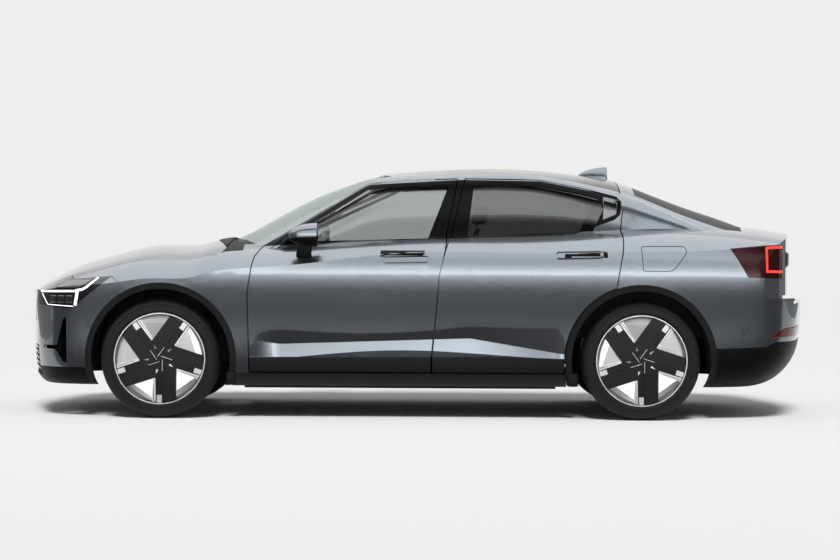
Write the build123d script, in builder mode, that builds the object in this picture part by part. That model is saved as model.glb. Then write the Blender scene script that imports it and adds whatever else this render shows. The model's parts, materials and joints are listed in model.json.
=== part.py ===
from build123d import *
import math
import os

os.makedirs("parts", exist_ok=True)

# ---- overall sizes, mm (X rearward, Y to the car's right, Z up, origin on the ground under the middle)
LENGTH = 4606.0
WIDTH = 1859.0
ROOF_Z = 1447.0
WHEELBASE = 2735.0
TRACK = 1600.0
TYRE_R = 340.0
TYRE_W = 245.0
RIM_R = 241.3

# ---- wall and gap sizes
DOOR_T = 75.0
FRAME_T = 40.0
PANEL_T = 30.0
SHUT_GAP = 6.5
DOOR_TAPER = 4.0
FLANGE_T = 12.0
GLASS_T = 5.0
ARCH_GAP = 56.0
CLADDING_W = 36.0
SHAFT_FIT = 0.05
SEAT_GAP = 0.8

# ---- joint places
KINGPIN_IN = 30.0
PIN_R = 12.0
STUB_R = 20.0

KX = LENGTH / 4606.0
KY = WIDTH / 1859.0
KZ = ROOF_Z / 1447.0
FRONT_X = -1461.0 * WHEELBASE / 2735.0
REAR_X = FRONT_X + WHEELBASE
AXLE_Z = TYRE_R
ARCH_R = TYRE_R + ARCH_GAP
HALF_TRACK = TRACK / 2
KINGPIN_Y = HALF_TRACK - KINGPIN_IN

# level, nose, tail, half width of the lower body in plan
LEVELS = (
    (185, -2250, 2060, 830),
    (290, -2296, 2230, 893),
    (440, -2302, 2290, 906),
    (620, -2301, 2302, 916),
    (780, -2296, 2303, 929),
    (940, -2280, 2296, 915),
    (1130, -2250, 2280, 880),
)
# how the plan outline rounds in from nose or tail: distance back, share of the half width
CORNER = ((55, 0.40), (105, 0.66), (205, 0.85), (430, 0.955))
# crown line of bonnet, belt and deck: X, Z
CROWN = (
    (-2340, 688), (-2294, 717), (-2180, 775), (-2051, 845), (-1911, 898), (-1696, 956), (-1480, 987),
    (-1199, 1016), (-886, 1045), (-400, 1080), (300, 1115), (1200, 1138), (1923, 1112), (2209, 1072),
    (2340, 1045),
)
# fall of the upper surface away from the centre: Y, drop
FALL = ((0, 0), (280, 7), (560, 38), (760, 82), (860, 132), (930, 205), (980, 280))
# cabin: X, crown Z, rail Z, rail half width, belt half width
CABIN = (
    (-1290, 960, 880, 640, 760), (-1070, 1032, 885, 700, 775), (-941, 1099, 950, 728, 785),
    (-778, 1190, 1045, 700, 795), (-600, 1281, 1150, 660, 800), (-420, 1350, 1262, 620, 802),
    (-248, 1401, 1353, 594, 803), (0, 1431, 1381, 584, 804), (258, 1447, 1392, 580, 803),
    (737, 1438, 1382, 572, 800),
    (965, 1414, 1335, 566, 795), (1150, 1386, 1290, 566, 788), (1400, 1300, 1205, 575, 772),
    (1650, 1209, 1110, 596, 752), (1950, 1100, 1005, 620, 725), (2120, 1040, 950, 630, 700),
)


def xs(values):
    return [(x * KX, z * KZ) for x, z in values]


def level_sketch(z, nose, tail, half, t):
    front = nose * KX + t
    back = tail * KX - t
    w = half * KY - t
    points = [(front, 0)] + [(front + d, w * f) for d, f in CORNER]
    points += [(FRONT_X, 0.99 * w), (-300 * KX, 0.975 * w), (REAR_X, w)]
    points += [(back - d, w * f) for d, f in reversed(CORNER)] + [(back, 0)]
    with BuildSketch(Plane.XY.offset(z * KZ)) as sketch:
        with BuildLine():
            pull = 0.4 * w / PLAN_SHARES[1]
            add(Edge.make_spline(points, tangents=[(0, pull), (0, -pull)], parameters=PLAN_SHARES,
                                 scale=False))
            mirror(about=Plane.XZ)
        make_face()
    return sketch.sketch


def across(x):
    return Plane(origin=(x, 0, 0), x_dir=(0, 1, 0), z_dir=(1, 0, 0))


def crown_sketch(x, z, t):
    half = [(y * KY, z * KZ - drop * KZ - t) for y, drop in FALL]
    points = [(-y, v) for y, v in reversed(half[1:])] + half
    edge = 980 * KY
    with BuildSketch(across(x * KX)) as sketch:
        with BuildLine():
            add(Edge.make_spline(points, parameters=CROWN_SHARES))
            Polyline(points[-1], (edge, 100), (-edge, 100), points[0])
        make_face()
    return sketch.sketch


def cabin_sketch(x, crown, rail, rail_y, belt_y, t):
    c = (crown - rail) * KZ
    top = rail * KZ
    foot = 760 * KZ
    ry = rail_y * KY
    by = belt_y * KY
    half = [
        (0, top + c - t), (0.5 * ry, top + 0.80 * c - t), (0.86 * ry, top + 0.36 * c - t),
        (ry - 0.6 * t, top - 0.6 * t), (ry + 0.33 * (by - ry) - t, top - 0.33 * (top - foot) - 0.2 * t),
        (ry + 0.69 * (by - ry) - t, top - 0.67 * (top - foot) - 0.1 * t), (by - t, foot),
    ]
    points = [(-y, v) for y, v in reversed(half[1:])] + half
    with BuildSketch(across(x * KX)) as sketch:
        with BuildLine():
            add(Edge.make_spline(points, parameters=CABIN_SHARES))
            Line(points[-1], points[0])
        make_face()
    return sketch.sketch


PLAN_SHARES = (0, 0.062, 0.103, 0.14, 0.183, 0.253, 0.449, 0.715, 0.817, 0.86, 0.897, 0.938, 1)
CROWN_SHARES = (0, 0.042, 0.089, 0.142, 0.237, 0.369, 0.5, 0.631, 0.763, 0.858, 0.911, 0.958, 1)
CABIN_SHARES = (0, 0.088, 0.179, 0.267, 0.301, 0.384, 0.5, 0.616, 0.699, 0.733, 0.821, 0.912, 1)


def hull(side_t, cabin_t):
    """Outer body pulled in by side_t below the belt and cabin_t above it."""
    with BuildPart() as plan:
        loft([level_sketch(z, n, r, h, side_t) for z, n, r, h in LEVELS])
    with BuildPart() as crown:
        loft([crown_sketch(x, z, side_t) for x, z in CROWN])
    with BuildPart() as cabin:
        loft([cabin_sketch(*row, cabin_t) for row in CABIN])
    with BuildPart() as whole:
        add(plan.part)
        add(crown.part, mode=Mode.INTERSECT)
        add(cabin.part)
    return whole.part


def side_region(points, y0, y1, grow=0.0, taper=0.0):
    """Side outline pushed across the car from y0 (outer) to y1."""
    with BuildPart() as region:
        with BuildSketch(Plane.XZ.offset(-y0)):
            with BuildLine():
                Polyline(*xs(points), close=True)
            make_face()
            if grow:
                offset(amount=grow, kind=Kind.INTERSECTION)
        extrude(amount=y0 - y1, taper=taper)
    return region.part


def plan_region(points, z0, z1, grow=0.0):
    full = [(x * KX, y * KY) for x, y in points]
    full += [(x, -y) for x, y in reversed(full) if y > 0]
    with BuildPart() as region:
        with BuildSketch(Plane.XY.offset(z0 * KZ)):
            with BuildLine():
                Polyline(*full, close=True)
            make_face()
            if grow:
                offset(amount=grow, kind=Kind.INTERSECTION)
        extrude(amount=(z1 - z0) * KZ)
    return region.part


def block(x0, x1, y0, y1, z0, z1):
    with BuildPart() as solid:
        with Locations(((x0 + x1) / 2, (y0 + y1) / 2, (z0 + z1) / 2)):
            Box(x1 - x0, y1 - y0, z1 - z0)
    return solid.part


def drum(x, y0, y1, z, r):
    with BuildPart() as solid:
        with BuildSketch(Plane.XZ.offset(-y0)):
            with Locations((x, z)):
                Circle(r)
        extrude(amount=y0 - y1)
    return solid.part


def trim(base, keep=(), cut=()):
    with BuildPart() as piece:
        add(base)
        for region in keep:
            add(region, mode=Mode.INTERSECT)
        for region in cut:
            add(region, mode=Mode.SUBTRACT)
    return piece.part


def both(part):
    with BuildPart() as pair:
        add(part)
        mirror(part, about=Plane.XZ)
    return pair.part


def other(part):
    with BuildPart() as twin:
        mirror(part, about=Plane.XZ)
    return twin.part


def save(part, name):
    part.label = name
    export_step(part, f"parts/{name}.step")
    return part


def save_sides(part, name):
    save(part, f"{name}_right")
    save(other(part), f"{name}_left")


# ---- nested skins of the body
SKIN_Y = 960 * KY
PLUG_Y = 905 * KY
PANEL_IN_Y = 780 * KY
DEEP_Y = 300 * KY
outer = hull(0, 0)
panel_in = hull(PANEL_T, PANEL_T)
door_in = hull(DOOR_T, FRAME_T)
rebate_in = hull(DOOR_T + SHUT_GAP, FRAME_T + SHUT_GAP)
frame_in = hull(DOOR_T + 50, FRAME_T + 35)
flange_in = hull(FLANGE_T, FLANGE_T)
glass_out = hull(60, 4)
glass_in = hull(65, 4 + GLASS_T)

panel_wall = trim(outer, cut=[panel_in])
door_wall = trim(outer, cut=[door_in])
frame_wall = trim(outer, cut=[frame_in])
glass_wall = trim(glass_out, cut=[glass_in])

# ---- side outlines (X, Z) shared by neighbours
FRONT_DOOR = (
    (-958, 262), (-963, 515), (-968, 717), (-935, 920), (-900, 985), (-500, 1235), (-300, 1364),
    (-20, 1388), (256, 1398), (173, 1025), (122, 813), (107, 610), (81, 347), (81, 262),
)
REAR_DOOR = (
    (81, 262), (81, 347), (107, 610), (122, 813), (173, 1025), (256, 1398), (700, 1392), (960, 1346),
    (1140, 1300), (1205, 1210), (1190, 1100), (1173, 1000), (1128, 742), (980, 640), (880, 470), (835, 262),
)
FRONT_GLASS = ((-800, 1005), (-300, 1306), (-20, 1334), (180, 1340), (62, 1030))
REAR_GLASS = ((322, 1338), (700, 1334), (930, 1296), (1040, 1262), (1072, 1205), (1010, 1075), (288, 1045))


def door_plug(outline, grow):
    """Straight through the skin down to PLUG_Y, tapered from there inwards."""
    with BuildPart() as region:
        add(side_region(outline, PLUG_Y, DEEP_Y, grow=grow, taper=DOOR_TAPER))
        add(side_region(outline, SKIN_Y, PLUG_Y, grow=grow))
    return region.part


def side_y(x, z):
    """Half width of the body side, by straight runs between the levels and along the car."""
    for low, high in zip(LEVELS, LEVELS[1:]):
        if low[0] <= z <= high[0]:
            width = low[3] + (high[3] - low[3]) * (z - low[0]) / (high[0] - low[0])
    for (x0, f0), (x1, f1) in zip(SIDE_BOW, SIDE_BOW[1:]):
        if x0 <= x <= x1:
            bow = f0 + (f1 - f0) * (x - x0) / (x1 - x0)
    return width * bow


def crease():
    """Long hollow low in the doors: each section runs from the crease in to the deepest line and out."""
    sections = []
    for x, z_top, z_deep, z_low, depth in CREASE:
        deep = (side_y(x, z_deep) - depth) * KY
        with BuildSketch(across(x * KX)) as section:
            with BuildLine():
                Polyline((deep, z_deep * KZ), (side_y(x, z_top) * KY + 2, z_top * KZ), (SKIN_Y, z_top * KZ),
                         (SKIN_Y, z_low * KZ), (side_y(x, z_low) * KY + 2, z_low * KZ), close=True)
            make_face()
        sections.append(section.sketch)
    with BuildPart() as hollow:
        loft(sections, ruled=True)
    return hollow.part


def side_pad(x, z, length, height):
    with BuildPart() as pad:
        with BuildSketch(Plane.XZ.offset(-SKIN_Y)):
            with Locations((x * KX, z * KZ)):
                RectangleRounded(length, height, height * 0.3, rotation=HANDLE_TILT)
        extrude(amount=SKIN_Y - PANEL_IN_Y)
    return pad.part


def handle_groove(x, z):
    """The dip round a flush handle, wider below the bar for the fingers, as deep as the outer panel."""
    with BuildPart() as groove:
        add(side_pad(x, z, HANDLE_L, HANDLE_H))
        add(side_pad(x, z + 6, HANDLE_L - 14, HANDLE_H - 26), mode=Mode.SUBTRACT)
        add(panel_in, mode=Mode.SUBTRACT)
    return groove.part


def door(outline, glass, handle, swing):
    """Door box with its window hole. Behind the skin its upper rear edge is cut back, to pass the pillar."""
    step = trim(flange_in, keep=[side_region(swing, SKIN_Y, DEEP_Y)])
    return trim(door_wall, keep=[door_plug(outline, -3.0)],
                cut=[side_region(glass, SKIN_Y, DEEP_Y), step, hollow, handle_groove(*handle)])


def opening(outline):
    return trim(door_plug(outline, SHUT_GAP - 3.0), cut=[rebate_in])


def through(outline):
    return side_region(outline, SKIN_Y, 300 * KY, grow=-60.0)


ARCH_CUT_R = ARCH_R + CLADDING_W + 0.3
front_arch = drum(FRONT_X, SKIN_Y, 445 * KY, AXLE_Z, ARCH_CUT_R)
rear_arch = drum(REAR_X, SKIN_Y, 445 * KY, AXLE_Z, ARCH_CUT_R)

HANDLE_L = 262.0
HANDLE_H = 54.0
HANDLE_TILT = 1.3
FRONT_HANDLE = (-68, 902)
REAR_HANDLE = (917, 933)
# door hollow: X, Z of the crease, Z of the deepest line, Z of the lower edge, depth
CREASE = ((-960, 508, 450, 352, -6), (-783, 522, 425, 352, 15), (299, 579, 462, 360, 17),
          (790, 604, 380, 345, 10),
          (875, 612, 370, 340, -6))
SIDE_BOW = ((-1461, 0.99), (-300, 0.975), (1274, 1.0))
FRONT_SWING = ((118, 925), (144, 1015), (226, 1420), (300, 1420), (240, 925))
REAR_SWING = ((1122, 925), (1133, 1000), (1146, 1100), (1166, 1210), (1098, 1315), (1098, 1400), (1300, 1400),
              (1300, 925))
# where the flange behind the front door is left out, so that the door frame swings past it
CORNER_RELIEF = ((-480, 1180), (-480, 1420), (-90, 1420), (-90, 1180))
ROOT_RELIEF = ((-858, 958), (-858, 986), (-818, 986), (-818, 958))
ROOT_RELIEF_Y = 690 * KY
hollow = crease()
front_door = door(FRONT_DOOR, FRONT_GLASS, FRONT_HANDLE, FRONT_SWING)
rear_door = trim(door(REAR_DOOR, REAR_GLASS, REAR_HANDLE, REAR_SWING),
                 cut=[drum(REAR_X, SKIN_Y, 300, AXLE_Z, ARCH_R + CLADDING_W + SHUT_GAP)])
save_sides(front_door, "front_door")
save_sides(rear_door, "rear_door")

for outline, name in ((FRONT_GLASS, "front_window"), (REAR_GLASS, "rear_window")):
    pane = trim(glass_wall, keep=[side_region(outline, SKIN_Y, 300 * KY, grow=-0.3)])
    save_sides(pane, name)

# ---- plan outlines (X, Y) of the upper panels
BONNET = ((-2330, 0), (-2290, 420), (-2215, 600), (-2050, 690), (-1911, 735), (-1506, 770), (-1120, 775),
          (-1100, 700), (-1170, 350), (-1190, 0))
bonnet_low = side_region(((-2400, 735), (-2120, 735), (-1700, 800), (-1000, 800), (-1000, 1200),
                          (-2400, 1200)),
                         SKIN_Y, -SKIN_Y)
bonnet = trim(panel_wall, keep=[plan_region(BONNET, 600, 1150), bonnet_low])
save(bonnet, "bonnet")
bonnet_hole = trim(plan_region(BONNET, 600, 1300, grow=SHUT_GAP), keep=[
    side_region(((-2400, 728), (-2120, 728), (-1700, 793), (-990, 793), (-990, 1200), (-2400, 1200)),
                SKIN_Y, -SKIN_Y)])

GATE = ((1176, 0), (1176, 545), (1400, 575), (1900, 655), (2120, 690), (2330, 640), (2330, 0))
gate_zone = plan_region(GATE, 560, 1500)
gate_side = side_region(((1100, 1500), (1100, 1180), (1700, 930), (2100, 712), (2400, 712), (2400, 1500)),
                        SKIN_Y, -SKIN_Y)
REAR_CUT = ((2216, 0), (2170, 400), (2128, 620), (2070, 780), (1960, 870), (1880, 960), (2500, 960),
            (2500, 0))
rear_cut = plan_region(REAR_CUT, 696, 1300)
tail_wall = trim(panel_wall, cut=[rear_cut])
BACK_PANEL = ((2186, 0), (2140, 400), (2098, 620), (2050, 720), (2216, 720), (2216, 0))
with BuildPart() as tail_shell:
    add(tail_wall)
    add(trim(plan_region(BACK_PANEL, 696, 1300), keep=[outer], cut=[rear_cut]))
back_window_hole = trim(plan_region(((1262, 0), (1262, 500), (1500, 545), (1880, 560), (1925, 0)), 900, 1500))
tailgate = trim(tail_shell.part, keep=[gate_zone, gate_side], cut=[back_window_hole])
save(tailgate, "tailgate")
back_glass = trim(glass_wall, keep=[plan_region(((1262, 0), (1262, 500), (1500, 545), (1880, 560), (1925, 0)),
                                                900, 1500, grow=-0.3)])
save(back_glass, "back_window")

ROOF = ((-232, 0), (-190, 300), (-130, 500), (260, 540), (800, 535), (1169, 530), (1169, 0))
roof_zone = plan_region(ROOF, 1200, 1500)
roof_panel = trim(panel_wall, keep=[roof_zone])
save(roof_panel, "roof_panel")

SCREEN = ((-1115, 0), (-1095, 350), (-1010, 640), (-800, 660), (-500, 590), (-250, 540), (-150, 500),
          (-200, 300),
          (-240, 0))
screen_zone = plan_region(SCREEN, 900, 1500)
windscreen = trim(glass_wall, keep=[plan_region(SCREEN, 900, 1500, grow=-0.3)])
save(windscreen, "windscreen")

SILL_TOP = 258.5
WING = ((-2030, 840), (-1960, 788), (-1739, 806), (-1652, 728), (-1550, 182), (-1062.3, 182),
        (-1062.3, 258.8),
        (-945, 258.8), (-950, 515), (-950, 717), (-925, 925), (-1100, 925), (-1196, 925), (-1506, 960),
        (-1900, 930))
COWL = ((-1230, 0), (-1230, 770), (-1000, 770), (-1000, 0))
cowl_zone = plan_region(COWL, 860, 1200)
cowl = trim(frame_wall, keep=[cowl_zone], cut=[plan_region(SCREEN, 860, 1500), bonnet_hole])
save(cowl, "cowl")

# ---- one side frame: sill, pillars, rail and rear quarter in one piece
SIDE = ((-1050, SILL_TOP), (-1050, 800), (-990, 880), (-1150, 925), (-1150, 1100), (-200, 1500), (1300, 1500),
        (2400, 1300), (2400, 696), (2000, 640), (1750, 640), (1750, SILL_TOP), (820, SILL_TOP))
LAMP_TAIL = ((1775, 980), (1985, 1000), (2300, 1000), (2300, 800), (2000, 812), (1879, 817), (1817, 919))
wing_layer = trim(side_region(WING, SKIN_Y, 300 * KY, grow=0.15), cut=[hull(PANEL_T + 0.3, PANEL_T + 0.3)])
reliefs = [trim(door_plug(FRONT_DOOR, SHUT_GAP - 3.0), keep=[side_region(corner, SKIN_Y, depth)])
           for corner, depth in ((CORNER_RELIEF, DEEP_Y), (ROOT_RELIEF, ROOT_RELIEF_Y))]
side = trim(
    frame_wall,
    keep=[side_region(SIDE, SKIN_Y, 300 * KY)],
    cut=[wing_layer, opening(FRONT_DOOR), opening(REAR_DOOR), through(FRONT_DOOR), through(REAR_DOOR),
         *reliefs,
         front_arch, rear_arch, plan_region(ROOF, 1200, 1500), plan_region(SCREEN, 900, 1500),
         plan_region(GATE, 560, 1500, grow=SHUT_GAP), plan_region(COWL, 860, 1200, grow=0.3), bonnet_hole,
         rear_cut,
         side_region(LAMP_TAIL, SKIN_Y, 300 * KY, grow=0.3)],
)
save_sides(side, "side_frame")
SILL = ((-1062, 182), (-1062, SILL_TOP - 0.3), (850, SILL_TOP - 0.3), (850, 182))
sill = trim(frame_wall, keep=[side_region(SILL, SKIN_Y, 300 * KY)], cut=[front_arch, rear_arch])
save(both(sill), "sills")

# ---- front wing, bumpers, lamps
LAMP_NOSE = ((-2185, 640), (-1977, 616), (-1739, 806), (-1960, 788), (-2060, 830), (-2185, 765))
VENT = ((-2004, 575), (-2022, 560), (-2057, 435), (-2060, 410), (-2150, 408), (-2150, 388), (-2070, 386),
        (-2060, 370), (-2026, 316), (-2001, 308))
lamp_zone = side_region(LAMP_NOSE, SKIN_Y, 500 * KY)
lamp_hole = side_region(LAMP_NOSE, SKIN_Y, 499.7 * KY, grow=0.3)
bumper_zone = side_region(((-2400, 120), (-1550, 120), (-1652, 728), (-1740, 803), (-2120, 728),
                           (-2400, 728)),
                          SKIN_Y, -SKIN_Y, grow=-0.15)
wing = trim(panel_wall, keep=[side_region(WING, SKIN_Y, 500 * KY, grow=-0.15)],
            cut=[front_arch, bonnet_hole, lamp_hole, opening(FRONT_DOOR),
                 plan_region(COWL, 860, 1200, grow=0.3)])
save(both(wing), "front_wings")
lamp = trim(panel_wall, keep=[lamp_zone], cut=[bonnet_hole])
save(both(lamp), "headlamps")
GRILLE_Y = 470 * KY
GRILLE = ((-2400, 540), (-2100, 540), (-2100, 668), (-2400, 668))
INTAKE = ((-2400, 230), (-2050, 230), (-2050, 405), (-2400, 405))
vent = side_region(VENT, SKIN_Y, 640 * KY)
grille_zone = trim(side_region(GRILLE, GRILLE_Y, -GRILLE_Y))
intake_zone = trim(side_region(INTAKE, 620 * KY, -620 * KY))
front_bumper = trim(panel_wall, keep=[bumper_zone],
                    cut=[front_arch, other(front_arch), lamp_hole, other(lamp_hole), bonnet_hole, grille_zone,
                         intake_zone, vent, other(vent)])
save(front_bumper, "front_bumper")
grille_wall = trim(hull(8, 8), cut=[hull(24, 24)])
with BuildPart() as grille:
    add(trim(grille_wall, keep=[side_region(GRILLE, GRILLE_Y, -GRILLE_Y, grow=-0.3)]))
    add(trim(grille_wall, keep=[side_region(INTAKE, 620 * KY, -620 * KY, grow=-0.3)]))
save(grille.part, "grille")
rear_bumper_zone = side_region(((1600, 120), (2400, 120), (2400, 696), (1990, 640), (1700, 640)), SKIN_Y,
                               -SKIN_Y,
                               grow=-0.15)
rear_bumper = trim(panel_wall, keep=[rear_bumper_zone],
                   cut=[rear_arch, other(rear_arch), gate_side,
                        side_region(SIDE, SKIN_Y, 300 * KY, grow=0.15),
                        other(side_region(SIDE, SKIN_Y, 300 * KY, grow=0.15))])
save(rear_bumper, "rear_bumper")
tail_lamp = trim(tail_shell.part, keep=[side_region(LAMP_TAIL, SKIN_Y, 300 * KY)],
                 cut=[plan_region(GATE, 560, 1500, grow=SHUT_GAP)])
save(both(tail_lamp), "tail_lamps")

# ---- rubber strips the doors close on
STRIPS = (
    ((-925, 330), (-912, 330), (-912, 800), (-925, 800)),
    ((36, 330), (48, 330), (84, 790), (72, 790)),
    ((122, 330), (134, 330), (174, 790), (162, 790)),
    ((1085, 780), (1097, 780), (1122, 960), (1110, 960)),
)
seal_wall = trim(hull(DOOR_T + 0.5, FRAME_T + 0.5), cut=[hull(DOOR_T + SHUT_GAP - 0.8,
                                                              FRAME_T + SHUT_GAP - 0.8)])
with BuildPart() as seals:
    for strip in STRIPS:
        add(both(trim(seal_wall, keep=[side_region(strip, SKIN_Y, 300 * KY)])))
save(seals.part, "door_seals")

# ---- floor, battery and inner structure
FLOOR_Z = 290.0
FLOOR_T = 22.0
SILL_Y = 700 * KY
NOSE_WALL_X = FRONT_X + ARCH_R + 30
TAIL_WALL_X = REAR_X - ARCH_R - 40
inside = hull(DOOR_T + 50 + SEAT_GAP, FRAME_T + 35 + SEAT_GAP)
skin_fit = hull(PANEL_T + SEAT_GAP, PANEL_T + SEAT_GAP)

floor_pan = trim(block(NOSE_WALL_X, TAIL_WALL_X, -SILL_Y - 200, SILL_Y + 200, FLOOR_Z, FLOOR_Z + FLOOR_T),
                 keep=[inside])
save(floor_pan, "floor_pan")
save(block(NOSE_WALL_X + 40, TAIL_WALL_X - 40, -SILL_Y + 20, SILL_Y - 20, 165, FLOOR_Z - 0.3), "battery_pack")


def arch_liner(x, y0, y1):
    with BuildPart() as liner:
        with BuildSketch(Plane.XZ.offset(-y1)):
            with Locations((x, AXLE_Z)):
                Circle(ARCH_R + 6)
                Circle(ARCH_R + 1, mode=Mode.SUBTRACT)
            with Locations((x, AXLE_Z - ARCH_R / 2 - 60)):
                Rectangle(2 * ARCH_R + 40, ARCH_R, mode=Mode.SUBTRACT)
        extrude(amount=y1 - y0)
    return liner.part


WELL_IN_F = 455 * KY
WELL_IN_R = 640 * KY
firewall = block(NOSE_WALL_X - 18, NOSE_WALL_X - 0.3, -760 * KY, 760 * KY, 250, 900 * KZ)
with BuildPart() as front_body:
    add(trim(firewall, keep=[inside]))
    for sign in (-1, 1):
        wall_y = sorted((sign * (WELL_IN_F - 25), sign * (WELL_IN_F - 10)))
        add(block(-2060 * KX, NOSE_WALL_X - 18, *wall_y, 300, AXLE_Z + ARCH_R + 4))
        add(block(-2060 * KX, NOSE_WALL_X - 18, *sorted((sign * (WELL_IN_F - 60), sign * (WELL_IN_F - 10))),
                  420, 480))
    add(block(-2075 * KX, -2060 * KX, -620 * KY, 620 * KY, 300, 640 * KZ))
    add(trim(block(-2075 * KX, -2050 * KX, -350 * KY, 350 * KY, 600 * KZ, 900 * KZ), keep=[skin_fit]))
    add(trim(both(arch_liner(FRONT_X, WELL_IN_F - 10, 860 * KY)), keep=[skin_fit]))
    add(drum(FRONT_X, 600 * KY, -600 * KY, AXLE_Z, 60), mode=Mode.SUBTRACT)
save(front_body.part, "front_body")

REAR_FLOOR_Z = 500 * KZ
BOOT_END_X = 2110 * KX
LATCH_END_X = 2178.3 * KX
WELL_END_X = 2050 * KX
with BuildPart() as rear_body:
    add(trim(block(TAIL_WALL_X, TAIL_WALL_X + 18, -760 * KY, 760 * KY, FLOOR_Z + FLOOR_T + 0.3, REAR_FLOOR_Z),
             keep=[inside]))
    add(block(TAIL_WALL_X, BOOT_END_X, 12 - WELL_IN_R, WELL_IN_R - 12, REAR_FLOOR_Z - 20, REAR_FLOOR_Z))
    for sign in (-1, 1):
        wall_y = sorted((sign * (WELL_IN_R - 25), sign * (WELL_IN_R - 10)))
        add(block(TAIL_WALL_X, WELL_END_X, *wall_y, REAR_FLOOR_Z - 40, AXLE_Z + ARCH_R + 4))
    add(block(BOOT_END_X - 15, BOOT_END_X, -575 * KY, 575 * KY, 350, REAR_FLOOR_Z + 160))
    add(block(BOOT_END_X - 15, LATCH_END_X, -60 * KY, 60 * KY, REAR_FLOOR_Z + 200, REAR_FLOOR_Z + 280))
    add(block(BOOT_END_X - 15, BOOT_END_X, -60 * KY, 60 * KY, REAR_FLOOR_Z, REAR_FLOOR_Z + 280))
    add(trim(both(arch_liner(REAR_X, WELL_IN_R - 10, 860 * KY)), keep=[skin_fit]))
save(rear_body.part, "rear_body")

# ---- wheels
RIM_W = 225.0
HUB_R = 72.0
FACE_T = 26.0
BLADES = 5
HUB_FACE_Y = HALF_TRACK + 45
RIM_OUT_Y = HALF_TRACK + RIM_W / 2
RIM_IN_Y = HALF_TRACK - RIM_W / 2


def wheel_plane(x, y):
    """Sketch plane square to the axle, looking out from the car, origin on the axle at |Y| = y."""
    return Plane(origin=(x, y, AXLE_Z), x_dir=(-1, 0, 0), z_dir=(0, 1, 0))


def rim(x):
    section = [(RIM_IN_Y, RIM_R), (RIM_IN_Y, RIM_R - 16), (RIM_OUT_Y - 24, RIM_R - 22),
               (RIM_OUT_Y - 24, RIM_R - 14),
               (RIM_OUT_Y, RIM_R - 10), (RIM_OUT_Y, RIM_R)]
    with BuildPart() as wheel:
        with BuildSketch(Plane(origin=(x, 0, AXLE_Z), x_dir=(0, 1, 0), z_dir=(-1, 0, 0))):
            with BuildLine():
                Polyline(*section, close=True)
            make_face()
        revolve(axis=Axis((x, 0, AXLE_Z), (0, 1, 0)))
        with BuildSketch(wheel_plane(x, RIM_OUT_Y - 24 - FACE_T)):
            Circle(RIM_R - 12)
        extrude(amount=FACE_T)
        with BuildSketch(wheel_plane(x, RIM_OUT_Y - 24 - FACE_T)):
            with PolarLocations(0, BLADES):
                with Locations((148, -8)):
                    Rectangle(128, 34)
                with Locations((163, -62)):
                    Rectangle(66, 30)
        extrude(amount=FACE_T, mode=Mode.SUBTRACT)
        with BuildSketch(wheel_plane(x, RIM_OUT_Y - 24)):
            with PolarLocations(0, BLADES):
                with Locations((113, 56)):
                    Rectangle(170, 78)
        extrude(amount=14)
        with BuildSketch(wheel_plane(x, HUB_FACE_Y)):
            Circle(HUB_R)
        extrude(amount=RIM_OUT_Y - 24 - HUB_FACE_Y)
        with BuildSketch(wheel_plane(x, HUB_FACE_Y)):
            Circle(STUB_R + SHAFT_FIT)
        extrude(amount=40, mode=Mode.SUBTRACT)
    return wheel.part


def tyre(x):
    half = TYRE_W / 2
    inner = RIM_R + SHAFT_FIT
    with BuildPart() as ring:
        with BuildSketch(Plane(origin=(x, 0, AXLE_Z), x_dir=(0, 1, 0), z_dir=(-1, 0, 0))):
            with BuildLine():
                Polyline((HALF_TRACK - half + 12, inner), (HALF_TRACK - half, inner + 40),
                         (HALF_TRACK - half + 6, TYRE_R - 26), (HALF_TRACK - half + 26, TYRE_R - 5),
                         (HALF_TRACK - 60, TYRE_R), (HALF_TRACK + 60, TYRE_R),
                         (HALF_TRACK + half - 26, TYRE_R - 5),
                         (HALF_TRACK + half - 6, TYRE_R - 26), (HALF_TRACK + half, inner + 40),
                         (HALF_TRACK + half - 12, inner), close=True)
            make_face()
        revolve(axis=Axis((x, 0, AXLE_Z), (0, 1, 0)))
    return ring.part


DISC_T = 28.0
DISC_R = 170.0
HAT_T = 14.0
DISC_IN_Y = HUB_FACE_Y - HAT_T - DISC_T
BRAKE_GAP = 6.0


def disc(x):
    with BuildPart() as rotor:
        with BuildSketch(wheel_plane(x, HUB_FACE_Y - HAT_T)):
            Circle(HUB_R + 12)
            Circle(STUB_R + SHAFT_FIT, mode=Mode.SUBTRACT)
        extrude(amount=HAT_T)
        with BuildSketch(wheel_plane(x, DISC_IN_Y)):
            Circle(DISC_R)
            Circle(HUB_R - 12, mode=Mode.SUBTRACT)
        extrude(amount=DISC_T)
    return rotor.part


for x, place in ((FRONT_X, "front"), (REAR_X, "rear")):
    save_sides(rim(x), f"{place}_rim")
    save_sides(tyre(x), f"{place}_tyre")
    save_sides(disc(x), f"{place}_disc")

# ---- knuckles, arms, drive units
UPRIGHT_H = 240.0
UPRIGHT_Y = KINGPIN_Y - 27
ARM_T = 22.0
ARM_LOW = AXLE_Z - UPRIGHT_H / 2 - 8 - ARM_T
ARM_HIGH = AXLE_Z + UPRIGHT_H / 2 + 8
CALIPER_X = 150.0


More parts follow.
